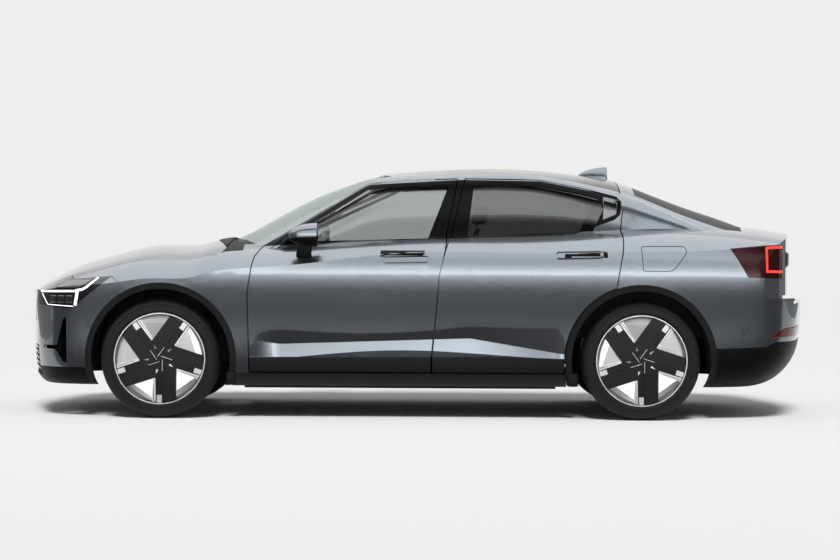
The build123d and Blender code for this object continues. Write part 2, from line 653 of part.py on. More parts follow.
def upright(x, side_x):
    with BuildPart() as knuckle:
        add(block(x - 30, x + 30, UPRIGHT_Y, UPRIGHT_Y + 30, AXLE_Z - UPRIGHT_H / 2, AXLE_Z + UPRIGHT_H / 2))
        add(block(*sorted((x, x + side_x)), UPRIGHT_Y + 5, UPRIGHT_Y + 25, AXLE_Z, AXLE_Z + 60))
        add(block(x + side_x - 23, x + side_x + 23, UPRIGHT_Y + 5, HUB_FACE_Y + 7, AXLE_Z - 45, AXLE_Z + 105))
        add(drum(x, DISC_IN_Y - BRAKE_GAP, HUB_FACE_Y - HAT_T + BRAKE_GAP, AXLE_Z, DISC_R + 8),
            mode=Mode.SUBTRACT)
        add(drum(x, UPRIGHT_Y + 5, HUB_FACE_Y + 38, AXLE_Z, STUB_R))
    return knuckle.part


def pin(x, z, r, length):
    with BuildPart() as solid:
        with BuildSketch(Plane.XY.offset(z)):
            with Locations((x, KINGPIN_Y)):
                Circle(r)
        extrude(amount=length)
    return solid.part


with BuildPart() as front_knuckle:
    add(upright(FRONT_X, CALIPER_X))
    add(pin(FRONT_X, ARM_LOW, PIN_R, ARM_T + 20))
    add(pin(FRONT_X, ARM_HIGH - 20, PIN_R, ARM_T + 20))
save_sides(front_knuckle.part, "front_knuckle")


def arm(x, z, y_in):
    with BuildPart() as link:
        add(block(x - 24, x + 24, y_in, KINGPIN_Y, z, z + ARM_T))
        add(pin(x, z, 28, ARM_T))
        add(pin(x, z, PIN_R + SHAFT_FIT, ARM_T), mode=Mode.SUBTRACT)
    return link.part


CROSS_Y = 400 * KY
CROSS_TOP = ARM_LOW + 35
with BuildPart() as front_suspension:
    add(block(FRONT_X - 90, FRONT_X + 90, -CROSS_Y, CROSS_Y, ARM_LOW, CROSS_TOP))
    add(both(arm(FRONT_X, ARM_LOW, CROSS_Y - 5)))
    add(both(arm(FRONT_X, ARM_HIGH, WELL_IN_F - 9.7)))
save(front_suspension.part, "front_suspension")

with BuildPart() as rear_half:
    add(upright(REAR_X, CALIPER_X))
    add(block(REAR_X - 24, REAR_X + 24, CROSS_Y - 5, UPRIGHT_Y + 30, ARM_LOW, ARM_LOW + ARM_T))
    add(block(REAR_X - 24, REAR_X + 24, UPRIGHT_Y, UPRIGHT_Y + 30, ARM_LOW, AXLE_Z))
    add(block(REAR_X - 24, REAR_X + 24, WELL_IN_R - 9.7, UPRIGHT_Y + 30, ARM_HIGH, ARM_HIGH + ARM_T))
    add(block(REAR_X - 24, REAR_X + 24, UPRIGHT_Y, UPRIGHT_Y + 30, AXLE_Z, ARM_HIGH + ARM_T))
with BuildPart() as rear_suspension:
    add(block(REAR_X - 90, REAR_X + 90, -CROSS_Y, CROSS_Y, ARM_LOW, CROSS_TOP))
    add(both(rear_half.part))
save(rear_suspension.part, "rear_suspension")

MOTOR_H = 200.0
SHAFT_GAP = 24.0
with BuildPart() as drive_units:
    for x in (FRONT_X, REAR_X):
        add(block(x - 150, x + 150, -220 * KY, 220 * KY, CROSS_TOP + 0.3, CROSS_TOP + MOTOR_H))
        add(drum(x, SHAFT_GAP - UPRIGHT_Y, UPRIGHT_Y - SHAFT_GAP, AXLE_Z, 14))
save(drive_units.part, "drive_units")

# ---- cabin
SEAT_Y = 370 * KY
WHEEL_X = -520 * KX
WHEEL_Z = 900 * KZ
dash_side = side_region(((-1034.7, 640), (-1034.7, 1000), (-800, 960), (-690, 900), (-700, 780), (-820, 640)),
                        SKIN_Y, -SKIN_Y)
dashboard = trim(dash_side, keep=[inside])
save(dashboard, "dashboard")


def seat(y):
    cushion = ((-330, 470), (-350, 540), (-300, 565), (130, 545), (180, 620), (290, 1060), (340, 1080),
               (390, 1060),
               (330, 600), (250, 440), (-300, 440))
    head = ((320, 1100), (325, 1210), (380, 1235), (420, 1210), (415, 1100))
    with BuildPart() as solid:
        add(side_region(cushion, y + 250, y - 250))
        add(side_region(head, y + 130, y - 130))
        add(side_region(((350, 1050), (350, 1110), (370, 1110), (370, 1050)), y + 60, y - 60))
        add(side_region(((-250, 312.3), (-250, 450), (250, 450), (250, 312.3)), y + 200, y - 200))
    return solid.part


save(both(seat(SEAT_Y)), "front_seats")
bench_side = ((620, 312.4), (828, 312.4), (828, 500.4), (1130, 500.4), (1215, 1080), (1110, 1090),
              (1000, 610),
              (660, 640), (620, 600))
bench = trim(side_region(bench_side, WELL_IN_R - 26, 26 - WELL_IN_R), keep=[inside])
save(bench, "rear_seat")

COLUMN_TILT = 25.0
with BuildPart() as steering_wheel:
    with Locations(Plane(origin=(WHEEL_X, -SEAT_Y, WHEEL_Z), x_dir=(0, 1, 0),
                         z_dir=(math.cos(math.radians(COLUMN_TILT)), 0,
                                math.sin(math.radians(COLUMN_TILT))))):
        Torus(178, 15)
        Box(350, 40, 20)
        Cylinder(55, 40)
        with Locations((0, 0, -120)):
            Cylinder(28, 240)
    add(dashboard, mode=Mode.SUBTRACT)
save(steering_wheel.part, "steering_wheel")

# ---- things that sit on the skin
skin_out = hull(-SEAT_GAP, -SEAT_GAP)
with BuildPart() as mirror_head:
    with Locations((-645 * KX, 925 * KY, 1045 * KZ)):
        Box(160, 130, 120)
    fillet(mirror_head.edges(), 28)
    with Locations((-640 * KX, 865 * KY, 965 * KZ)):
        Box(60, 60, 110)
    add(skin_out, mode=Mode.SUBTRACT)
save_sides(mirror_head.part, "mirror")
with BuildPart() as roof_fin:
    with BuildSketch(Plane.XZ.offset(-16)):
        with BuildLine():
            Polyline(*xs(((950, 1380), (950, 1418), (985, 1456), (1020, 1470), (1102, 1470), (1128, 1456),
                          (1134, 1380))), close=True)
        make_face()
    extrude(amount=32)
    add(skin_out, mode=Mode.SUBTRACT)
save(roof_fin.part, "roof_fin")

cladding_wall = trim(hull(-1, -1), cut=[panel_in])
CLADDING_LOW = 186.0
rings = []
for x in (FRONT_X, REAR_X):
    with BuildPart() as ring:
        add(drum(x, SKIN_Y, 600 * KY, AXLE_Z, ARCH_R + CLADDING_W))
        add(drum(x, SKIN_Y, 600 * KY, AXLE_Z, ARCH_R), mode=Mode.SUBTRACT)
    rings.append(trim(cladding_wall, keep=[ring.part, block(-3000, 3000, 0, 1000, CLADDING_LOW, 1000)],
                      cut=[side_region(SILL, SKIN_Y, DEEP_Y, grow=0.3)]))
with BuildPart() as cladding:
    for ring in rings:
        add(both(ring))
save(cladding.part, "arch_cladding")
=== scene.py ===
# %% [markdown]
# # A fastback sedan, dressed for the studio
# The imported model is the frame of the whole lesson: every body panel, wheel and hinge already has its
# true place and size. Here each surface gets its finish, and the pieces that a real car shows in fine
# detail, such as wheels, tyres, lamps and seats, are made again as denser meshes.

# %% Load the frame
import json
import math
import bpy
import numpy as np
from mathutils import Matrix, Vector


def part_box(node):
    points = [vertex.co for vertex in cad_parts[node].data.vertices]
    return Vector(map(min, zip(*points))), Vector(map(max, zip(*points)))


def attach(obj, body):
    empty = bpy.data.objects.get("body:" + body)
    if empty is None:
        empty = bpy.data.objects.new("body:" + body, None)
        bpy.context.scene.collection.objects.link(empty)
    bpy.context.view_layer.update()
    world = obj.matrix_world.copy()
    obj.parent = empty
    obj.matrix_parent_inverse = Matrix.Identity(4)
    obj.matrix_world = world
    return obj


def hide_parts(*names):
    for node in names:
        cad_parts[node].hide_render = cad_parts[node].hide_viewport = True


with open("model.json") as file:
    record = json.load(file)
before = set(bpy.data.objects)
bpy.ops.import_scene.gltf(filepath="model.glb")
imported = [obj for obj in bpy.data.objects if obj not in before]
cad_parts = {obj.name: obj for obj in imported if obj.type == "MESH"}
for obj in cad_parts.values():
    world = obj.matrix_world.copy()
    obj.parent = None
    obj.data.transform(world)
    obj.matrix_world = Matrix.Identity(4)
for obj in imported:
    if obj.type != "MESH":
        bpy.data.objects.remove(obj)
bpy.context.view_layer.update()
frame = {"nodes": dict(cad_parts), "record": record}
nodes = frame["nodes"]

# %% [markdown]
# ## Camera
# A long lens far from the side gives the calm, almost flat proportions of a catalogue view. The camera
# stands at chest height, looks a little down, and is level to within a third of a degree.

# %% Camera
scene = bpy.context.scene
lens = bpy.data.cameras.new("side_lens")
lens.sensor_width = 36.0
lens.lens = 105.0
camera = bpy.data.objects.new("side_camera", lens)
scene.collection.objects.link(camera)
camera.location = (0.0125, -14.8, 1.0)
camera.rotation_euler = (math.radians(90 - 0.853), math.radians(-0.30), 0)
lens.clip_end = 200
scene.camera = camera
scene.view_settings.view_transform = "Standard"
print("camera", tuple(round(v, 3) for v in camera.location))

# %% [markdown]
# ## Shader sums
# A finish is easier to read as arithmetic than as a web of boxes. `Knob` wraps one socket, and its
# operators add Math nodes, so `1 - mask` or `a * 0.5 + b` builds the node tree by itself.


# %% Sockets that add up
class Knob:
    """One socket of a node tree. Its operators add Math nodes and give the socket of their result."""

    def __init__(self, finish, out):
        self.finish, self.out = finish, out

    def math(self, operation, a, b=0.0):
        return self.finish.node("ShaderNodeMath", {"operation": operation}, {0: a, 1: b})

    def __add__(self, other):
        return self.math("ADD", self, other)

    def __sub__(self, other):
        return self.math("SUBTRACT", self, other)

    def __rsub__(self, other):
        return self.math("SUBTRACT", other, self)

    def __mul__(self, other):
        return self.math("MULTIPLY", self, other)

    def __truediv__(self, other):
        return self.math("DIVIDE", self, other)

    __radd__ = __add__
    __rmul__ = __mul__

    def at_most(self, other):
        return self.math("MINIMUM", self, other)

    def at_least(self, other):
        return self.math("MAXIMUM", self, other)

    def sign(self):
        """-1 below 0 and 1 above it."""
        return self.finish.node("ShaderNodeMath", {"operation": "SIGN"}, {0: self})

    def clamp(self):
        return self.finish.node("ShaderNodeClamp", {}, {"Value": self})


print("sockets can be added up")

# %% [markdown]
# ## Finishes
# A real surface is one substance with a few properties, so each finish is one Principled shader. `Finish`
# makes it and sets its constants, and every other box comes from one method, `node`. A finish then reads as a
# short list of what changes over the surface.


# %% One shader for each finish
class Finish:
    """A material with one Principled shader. Constants are set on the shader, links change over the surface."""

    def __init__(self, name, **constants):
        self.material = bpy.data.materials.new(name)
        self.material.use_nodes = True
        self.tree = self.material.node_tree
        self.shader = self.tree.nodes["Principled BSDF"]
        self.set(**constants)

    def node(self, kind, settings, inputs, out=0):
        box = self.tree.nodes.new(kind)
        for key, value in settings.items():
            setattr(box, key, value)
        for key, value in inputs.items():
            self.feed(box.inputs[key], value)
        return Knob(self, box.outputs[out])

    def feed(self, socket, value):
        if isinstance(value, Knob):
            self.tree.links.new(value.out, socket)
        elif isinstance(value, tuple) and len(value) == 3 and len(socket.default_value) == 4:
            socket.default_value = (*value, 1.0)
        else:
            socket.default_value = value

    def set(self, **values):
        for key, value in values.items():
            self.feed(self.shader.inputs[key.replace("_", " ")], value)

    def place(self):
        """The point on the object, as three knobs x, y and z in metres."""
        where = self.tree.nodes.new("ShaderNodeTexCoord").outputs["Object"]
        split = self.node("ShaderNodeSeparateXYZ", {}, {"Vector": Knob(self, where)})
        parts = split.out.node.outputs
        return Knob(self, parts[0]), Knob(self, parts[1]), Knob(self, parts[2])

    def noise(self, scale, detail=2.0):
        """Clouds of about 1 / scale metres on Object coordinates, from 0 to 1."""
        where = Knob(self, self.tree.nodes.new("ShaderNodeTexCoord").outputs["Object"])
        return self.node("ShaderNodeTexNoise", {}, {"Vector": where, "Scale": scale, "Detail": detail})

    def mix(self, share, a, b):
        """Colour a where share is 0 and b where it is 1."""
        box = self.tree.nodes.new("ShaderNodeMix")
        box.data_type = "RGBA"
        self.feed(box.inputs[0], share)
        self.feed(box.inputs[6], a)
        self.feed(box.inputs[7], b)
        return Knob(self, box.outputs[2])

    def bump(self, height, strength, distance):
        return self.node("ShaderNodeBump", {}, {"Height": height, "Strength": strength, "Distance": distance})


print("finish language ready")

# %% [markdown]
# ## Floor and air
# The car stands on a pale floor in a room of pale air. The floor takes its brightness from lamps, so that
# it can hold a shadow, and the air has one strength for the eye, for paint and for glass, and a weaker one
# that lights soft surfaces. A Light Path node tells the rays apart.

# %% Floor and air
PALE = 0.86
AIR_LIGHT = 0.27


def plane(name, corners, finish):
    """One flat sheet of the studio, which isn't part of the car."""
    mesh = bpy.data.meshes.new(name)
    mesh.from_pydata(corners, [], [(0, 1, 2, 3)])
    sheet = bpy.data.objects.new(name, mesh)
    scene.collection.objects.link(sheet)
    mesh.materials.append(finish.material)
    return sheet


floor_finish = Finish("studio_floor", Base_Color=(0.93, 0.93, 0.93), Roughness=0.9, Specular_IOR_Level=0.1)
floor = plane("floor", [(-90, -60, 0), (90, -60, 0), (90, 160, 0), (-90, 160, 0)], floor_finish)

world = bpy.data.worlds.new("studio_air")
scene.world = world
world.use_nodes = True
air = world.node_tree
air.nodes.clear()
rays = air.nodes.new("ShaderNodeLightPath").outputs


def either(one, other):
    """1 where one of two ray sockets is 1."""
    box = air.nodes.new("ShaderNodeMath")
    box.operation = "MAXIMUM"
    air.links.new(one, box.inputs[0])
    air.links.new(other, box.inputs[1])
    return box.outputs[0]


seen = either(either(rays["Is Camera Ray"], rays["Is Transmission Ray"]), rays["Is Glossy Ray"])
shown, lit = air.nodes.new("ShaderNodeBackground"), air.nodes.new("ShaderNodeBackground")
shown.inputs["Color"].default_value = (PALE, PALE, PALE, 1)
lit.inputs["Color"].default_value = (1, 1, 1, 1)
lit.inputs["Strength"].default_value = AIR_LIGHT
choice = air.nodes.new("ShaderNodeMixShader")
air.links.new(seen, choice.inputs[0])
air.links.new(lit.outputs[0], choice.inputs[1])
air.links.new(shown.outputs[0], choice.inputs[2])
air.links.new(choice.outputs[0], air.nodes.new("ShaderNodeOutputWorld").inputs["Surface"])
print("floor and air ready")

# %% [markdown]
# ## Lamps of the studio
# A broad sun from above and a soft canopy on the viewer's side light the car. A second sun lights only the
# floor, from the viewer's side, so that the car's shadow falls dark and to the back while the paint keeps
# its calm light. Light linking does that: each lamp has a group that says what it may reach.

# %% Suns and canopy


def lamp(name, kind, place, turn, strength, **settings):
    """A light of that kind at a place, turned about the axes, with any other settings of the light."""
    light = bpy.data.lights.new(name, kind)
    light.energy = strength
    for key, value in settings.items():
        setattr(light, key, value)
    holder = bpy.data.objects.new(name, light)
    scene.collection.objects.link(holder)
    holder.location = place
    holder.rotation_euler = turn
    return holder


high_sun = lamp("high_sun", "SUN", (0, 0, 8), (math.radians(-14), 0, 0), 1.9, angle=math.radians(55))
floor_sun = lamp("floor_sun", "SUN", (0, -4, 8), (math.radians(40), 0, 0), 2.63, angle=math.radians(16))
for light, name, state in ((high_sun, "not_floor", "EXCLUDE"), (floor_sun, "only_floor", "INCLUDE")):
    group = bpy.data.collections.new(name)
    group.objects.link(floor)
    group.collection_objects[0].light_linking.link_state = state
    light.light_linking.receiver_collection = group
canopy = lamp("canopy", "AREA", (0.2, -3.4, 3.6), (math.radians(40), 0, 0), 18, shape="RECTANGLE", size=8.5,
              size_y=2.8)
canopy.visible_glossy = False

# %% [markdown]
# ## Cloths that only mirrors see
# A car is a mirror with wheels: its shape is drawn by what it reflects. Photographers set up bright and
# black cloths for that, and so does this cell. A bright band stands far off at the height of the shoulder,
# and its lower edge is drawn along the doors. A dark cloth on the floor gives the flank its depth, a ceiling
# with a dark border draws the horizon in the side windows, and a dim cloth stands at either end. The bright
# and dark bands are stops of a graph over a height or a distance.

# %% Cloths


def graph(at, stops):
    """A value that runs straight from stop to stop: the first value plus, for each run, its rise times the
    share of the run that has been passed. The stops are (place, value) with the places growing."""
    value = at * 0.0 + stops[0][1]
    for (a, low), (b, high) in zip(stops, stops[1:]):
        value = ((at - a) / (b - a)).clamp() * (high - low) + value
    return value


def mirrored(name, corners, axis, stops):
    """An unlit cloth that only mirrors show, its brightness drawn along one axis by graph. The eye, soft
    light and shadows pass through it."""
    finish = Finish(name, Base_Color=(0.0, 0.0, 0.0), Roughness=1.0, Specular_IOR_Level=0.0, Emission_Strength=1.0)
    top = max(value for _, value in stops)
    share = graph(finish.place()["xyz".index(axis)], [(at, value / top) for at, value in stops])
    finish.set(Emission_Color=finish.mix(share, (0.0,) * 3, (top, top, top * 1.01)))
    cloth = plane(name, corners, finish)
    cloth.visible_camera = cloth.visible_diffuse = cloth.visible_shadow = cloth.visible_transmission = False


mirrored("flank_softbox", [(-14, -8.5, 0), (14, -8.5, 0), (14, -8.5, 5.5), (-14, -8.5, 5.5)], "z",
         [(0.0, 0.50), (1.0, 1.0), (1.2, 6.0), (1.5, 5.4), (1.9, 2.6), (2.5, 1.4), (3.4, 1.1), (4.0, 2.2),
          (5.5, 2.0)])
mirrored("floor_cloth", [(-14, -8.5, 0.004), (14, -8.5, 0.004), (14, -1.05, 0.004), (-14, -1.05, 0.004)], "y",
         [(-8.5, 0.55), (-7.2, 0.40), (-5.4, 0.14), (-4.6, 0.10), (-1.05, 0.08)])
mirrored("ceiling", [(-11, -8.4, 6), (11, -8.4, 6), (11, 6, 6), (-11, 6, 6)], "y",
         [(-8.4, 0.5), (-7.0, 0.05), (-4.85, 0.05), (-4.75, 2.1), (6.0, 1.3)])
for end, x in (("ahead", -9.0), ("behind", 9.0)):
    mirrored(f"cloth_{end}", [(x, -8.5, 0), (x, 24, 0), (x, 24, 4.5), (x, -8.5, 4.5)], "z",
             [(0.0, 0.12), (2.2, 0.28), (4.5, PALE)])
print("studio ready")

# %% [markdown]
# ## Masks
# The black surround of the windows and the dark cladding are separate strips on a real car. Here a mask
# draws them on the panels that carry them: it asks whether a point lies above or below a line. A painted
# image would need a map of every panel, while a line in metres needs none and stays sharp at any distance.

# %% Masks from lines
MM = 0.001
# a mask rises from 0 to 1 over 1 / EDGE metres, two thirds of a millimetre
EDGE = 1500.0


def line_height(x, points):
    """Height of a polyline at x: its first height plus, for each run, the slope times the part of the run
    that x has passed. The points are (x, z) in millimetres with x growing."""
    height = points[0][1] * MM
    for (ax, az), (bx, bz) in zip(points, points[1:]):
        passed = (x - ax * MM).at_least(0.0).at_most((bx - ax) * MM)
        height = passed * ((bz - az) / (bx - ax)) + height
    return height


def between(x, z, low, high):
    """1 where z lies above the polyline low and below the polyline high."""
    above = ((z - line_height(x, low)) * EDGE + 0.5).clamp()
    below = ((line_height(x, high) - z) * EDGE + 0.5).clamp()
    return above * below


print("a mask's edge is", round(1 / EDGE / MM, 2), "mm wide")

# %% [markdown]
# ## Paint
# Metallic paint is a coloured layer of tiny metal flakes under a clear coat. A metallic base with a medium
# roughness gives the broad silky change from light to dark, and a smooth coat gives the sharp reflection on
# top of it. The flakes are a very fine noise in the roughness and the bump.

# %% Finishes of the body
PAINT = (0.165, 0.185, 0.205)
BLACK = (0.008, 0.008, 0.009)
CLADDING = (0.012, 0.012, 0.013)
DOOR_CLADDING = (0.030, 0.030, 0.031)
LINING = (0.035, 0.036, 0.038)

WINDOW_LOW = [(-886, 980), (-570, 998), (61, 1026), (812, 1047), (902, 1057), (1138, 1143),
              (1170, 1174), (1178, 1247)]
WINDOW_HIGH = [(-886, 982), (-289, 1338), (248, 1370), (708, 1364), (965, 1316), (1150, 1278),
               (1178, 1247)]
CLADDING_TOP = [(-1100, 344), (-500, 352), (500, 358), (860, 348), (1000, 350), (1500, 405), (1720, 411),
                (1990, 420), (2050, 447), (2289, 455)]


def body_finish(name, dark_mask=None, window=False, lining=True, cladding=CLADDING):
    """Paint, with gloss black where window is drawn, matt cladding under dark_mask and a lining on what faces
    the cabin."""
    finish = Finish(name, Metallic=0.95, Coat_Roughness=0.03)
    x, y, z = finish.place()
    flake = finish.noise(2600, 1.0)
    colour = finish.mix(flake * 0.5, PAINT, tuple(v * 1.35 for v in PAINT))
    rough = flake * 0.04 + 0.22
    coat = flake * 0.1 + 0.95
    if window:
        black = between(x, z, WINDOW_LOW, WINDOW_HIGH)
        colour = finish.mix(black, colour, BLACK)
        coat = coat * (1 - black)
        rough = rough * (1 - black) + black * 0.3
    if dark_mask:
        dark = dark_mask(x, y, z)
        colour = finish.mix(dark, colour, cladding)
        coat = coat * (1 - dark)
        rough = rough * (1 - dark) + dark * 0.5
    if lining:
        normal = Knob(finish, finish.tree.nodes.new("ShaderNodeTexCoord").outputs["Normal"])
        outwards = finish.node("ShaderNodeSeparateXYZ", {}, {"Vector": normal}, 1) * y.sign()
        inner = ((outwards * -1.0 - 0.25) * 8).clamp()
        colour = finish.mix(inner, colour, LINING)
        coat = coat * (1 - inner)
        rough = rough * (1 - inner) + inner * 0.7
    finish.set(Base_Color=colour, Roughness=rough, Coat_Weight=coat,
               Normal=finish.bump(flake, 0.015, 0.0002))
    return finish


LIP_TOP = 0.285


def low_band(x, y, z):
    """1 below the cladding's upper edge."""
    return ((line_height(x, CLADDING_TOP) - z) * EDGE + 0.5).clamp()


def front_lip(x, y, z):
    """1 on the dark lip under the nose."""
    return ((LIP_TOP - z) * EDGE + 0.5).clamp()


door_paint = body_finish("door_paint", low_band, window=True, cladding=DOOR_CLADDING)
frame_paint = body_finish("frame_paint", low_band, window=True)
plain_paint = body_finish("plain_paint", None, lining=False)
nose_paint = body_finish("nose_paint", front_lip, lining=False)
tail_paint = body_finish("tail_paint", low_band, lining=False)
print("paints ready")

# %% [markdown]
# ## Everything that isn't painted
# Plastic, rubber, glass and metal parts differ mostly in roughness and in the scale of their grain. Each
# gets a base colour with a little cloudiness and a bump of its own size, so that none is a flat colour.

# %% Grain and glass


def grained(name, colour, roughness, grain=900, depth=0.25, metallic=0.0, coat=0.0, cloud=0.2, shine=0.22):
    """Colour with slow clouds, roughness that wanders with them, and a fine grain in the bump."""
    finish = Finish(name, Metallic=metallic, Coat_Weight=coat, Coat_Roughness=0.05, Specular_IOR_Level=shine)
    slow = finish.noise(7, 3.0)
    fine = finish.noise(grain, 2.0)
    darker = tuple(v * (1 - cloud) for v in colour)
    lighter = tuple(v * (1 + cloud) for v in colour)
    finish.set(Base_Color=finish.mix(slow, darker, lighter), Roughness=slow * 0.12 + (roughness - 0.06),
               Normal=finish.bump(fine, depth, 0.0006))
    return finish


def tinted_glass(name, tint, see_through, clearness):
    """Dark glass: a Mix Shader of a clear pane and a glossy one, so that the cabin shows faintly. clearness is
    the clear pane's share."""
    finish = Finish(name, Base_Color=tint, Metallic=1.0)
    ripple = finish.noise(1.5, 1.0)
    finish.set(Roughness=ripple * 0.03 + 0.015)
    tree = finish.tree
    clear = tree.nodes.new("ShaderNodeBsdfTransparent")
    clear.inputs["Color"].default_value = (*see_through, 1)
    blend = tree.nodes.new("ShaderNodeMixShader")
    blend.inputs[0].default_value = clearness
    tree.links.new(finish.shader.outputs[0], blend.inputs[1])
    tree.links.new(clear.outputs[0], blend.inputs[2])
    tree.links.new(blend.outputs[0], tree.nodes["Material Output"].inputs["Surface"])
    return finish


print("grain and glass ready")

# %% [markdown]
# ## The finishes one by one
# Each substance is one line: its colour, how rough it is, the scale of its grain and how deep the grain is.
# Only the panes differ. A dark pane shows a little of the cabin and mirrors the rest, so it mixes a clear
# shader with a glossy one in a fixed share.

# %% Other finishes
gloss_black = grained("gloss_black_panel", BLACK, 0.12, grain=40, depth=0.02, coat=0.6)
dark_plastic = grained("moulded_dark_plastic", (0.013, 0.013, 0.014), 0.55, grain=1400, depth=0.35, shine=0.12)
sill_plastic = grained("sill_plastic", (0.010, 0.010, 0.011), 0.45, grain=1400, depth=0.3)
tyre_rubber = grained("tyre_rubber", (0.0125, 0.0125, 0.013), 0.6, grain=700, depth=0.3)
rim_silver = grained("rim_silver", (0.80, 0.81, 0.82), 0.3, grain=1800, depth=0.03, metallic=0.75, cloud=0.03,
                     shine=0.5)
brake_iron = grained("brake_iron", (0.22, 0.21, 0.20), 0.38, grain=300, depth=0.12, metallic=1.0)
cast_alloy = grained("cast_alloy", (0.30, 0.30, 0.31), 0.5, grain=500, depth=0.3, metallic=0.9)
under_steel = grained("underbody_coat", (0.018, 0.018, 0.019), 0.7, grain=350, depth=0.5)
seat_cloth = grained("seat_cloth", (0.040, 0.041, 0.044), 0.85, grain=1600, depth=0.6)
soft_rubber = grained("seal_rubber", (0.012, 0.012, 0.012), 0.6, grain=900, depth=0.2)
grille_dark = grained("grille_dark", (0.006, 0.006, 0.007), 0.6, grain=600, depth=0.3, shine=0.08)
lamp_clear = grained("lamp_housing", (0.010, 0.011, 0.012), 0.15, grain=60, depth=0.02, coat=1.0)
lamp_red = grained("lamp_red", (0.040, 0.002, 0.003), 0.14, grain=60, depth=0.02, coat=0.08, metallic=0.2)
side_glass = tinted_glass("side_glass", (0.28, 0.285, 0.285), (0.85, 0.87, 0.86), 0.86)
privacy_glass = tinted_glass("privacy_glass", (0.36, 0.37, 0.37), (0.50, 0.52, 0.51), 0.80)
screen_glass = tinted_glass("screen_glass", (0.5, 0.51, 0.51), (0.88, 0.91, 0.90), 0.88)
print("finishes", len(bpy.data.materials))

# %% [markdown]
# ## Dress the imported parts
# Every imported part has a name, and its left and right twins wear the same. A table from finish to names is
# shorter than a line for each part, and a part that isn't in it stops the script here.

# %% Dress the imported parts
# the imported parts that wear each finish, named without their side
WORN_BY = {
    door_paint: "front_door rear_door", frame_paint: "side_frame", nose_paint: "front_bumper",
    tail_paint: "rear_bumper", plain_paint: "bonnet tailgate front_wings roof_fin",
    side_glass: "front_window", privacy_glass: "rear_window back_window", screen_glass: "windscreen",
    gloss_black: "roof_panel mirror", grille_dark: "grille", sill_plastic: "sills",
    dark_plastic: "cowl arch_cladding dashboard steering_wheel", lamp_clear: "headlamps", lamp_red: "tail_lamps",
    under_steel: "floor_pan battery_pack front_body rear_body front_suspension rear_suspension",
    cast_alloy: "drive_units front_knuckle", seat_cloth: "front_seats rear_seat", soft_rubber: "door_seals",
    rim_silver: "front_rim rear_rim", tyre_rubber: "front_tyre rear_tyre", brake_iron: "front_disc rear_disc",
}
FINISH_OF = {name: finish for finish, names in WORN_BY.items() for name in names.split()}
for name, part in nodes.items():
    plain_name = name.removesuffix("_left").removesuffix("_right")
    part.data.materials.clear()
    part.data.materials.append(FINISH_OF[plain_name].material)
print("dressed", len(nodes), "nodes")

# %% [markdown]
# ## Surfaces from arrays
# Every new piece is a grid of points computed at once by numpy. A shape is a pair, its points and its faces.
# `grid_faces` joins the grid's neighbours with four-sided faces, and `build` makes the mesh and lets bmesh
# turn all faces outwards at the end, so that no shape has to care which way round it was worked out.

# %% Build a piece
import bmesh


SIDES = ((-1, "left"), (1, "right"))


def build(name, shape, finish, body, flat=False, bevel=0.0):
    """A piece from a shape, its points (n, 3) in metres and its faces, with doubles merged and faces turned
    outwards."""
    points, faces = shape
    mesh = bpy.data.meshes.new(name)
    mesh.from_pydata(points.reshape(-1, 3).tolist(), [], faces)
    work = bmesh.new()
    work.from_mesh(mesh)
    bmesh.ops.remove_doubles(work, verts=work.verts, dist=1e-6)
    bmesh.ops.dissolve_degenerate(work, edges=work.edges, dist=1e-7)
    bmesh.ops.recalc_face_normals(work, faces=work.faces)
    work.to_mesh(mesh)
    work.free()
    mesh.polygons.foreach_set("use_smooth", np.full(len(mesh.polygons), not flat))
    mesh.materials.append(finish.material)
    piece = bpy.data.objects.new(name, mesh)
    scene.collection.objects.link(piece)
    if bevel:
        edge = piece.modifiers.new("edge", "BEVEL")
        edge.width, edge.segments, edge.limit_method = bevel, 2, "ANGLE"
    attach(piece, body)
    return piece


def grid_faces(rows, columns, close_rows=False, close_columns=False, start=0):
    """Four-sided faces between neighbours of a rows by columns grid, joined round where it closes."""
    r, c = np.meshgrid(np.arange(rows - (not close_rows)), np.arange(columns - (not close_columns)), indexing="ij")
    below, beside = (r + 1) % rows, (c + 1) % columns
    corners = [r * columns + c, r * columns + beside, below * columns + beside, below * columns + c]
    return (np.stack(corners, -1).reshape(-1, 4) + start).tolist()


def coords(mesh):
    """The points of a mesh, (n, 3) in metres."""
    flat = np.empty(len(mesh.vertices) * 3)
    mesh.vertices.foreach_get("co", flat)
    return flat.reshape(-1, 3)


print("pieces can be built")

# %% [markdown]
# ## Plates and turned profiles
# A wheel is made of plates and of parts that come off a lathe. `prism` gives an outline its thickness, `spun`
# turns a profile, and `gather` joins several shapes in one. Solidify and Screw modifiers could do the same,
# but a shape in numbers can be repeated round the wheel and mirrored without turning inside out.

# %% Plates and turned profiles


def gather(shapes):
    """Several (points, faces) shapes as one."""
    points, faces, start = [], [], 0
    for some, around in shapes:
        some = np.asarray(some, float).reshape(-1, 3)
        points.append(some)
        faces += [[start + i for i in face] for face in around]
        start += len(some)
    return np.concatenate(points), faces


def prism(outline, low, high):
    """An outline (n, 2) carried straight from height low to height high, closed by its two caps."""
    outline = np.asarray(outline, float)
    n = len(outline)
    floor = np.column_stack([outline, np.full(n, low)])
    top = np.column_stack([outline, np.full(n, high)])
    sides = grid_faces(2, n, close_columns=True)
    return np.concatenate([floor, top]), sides + [list(range(n))[::-1], list(range(n, 2 * n))]


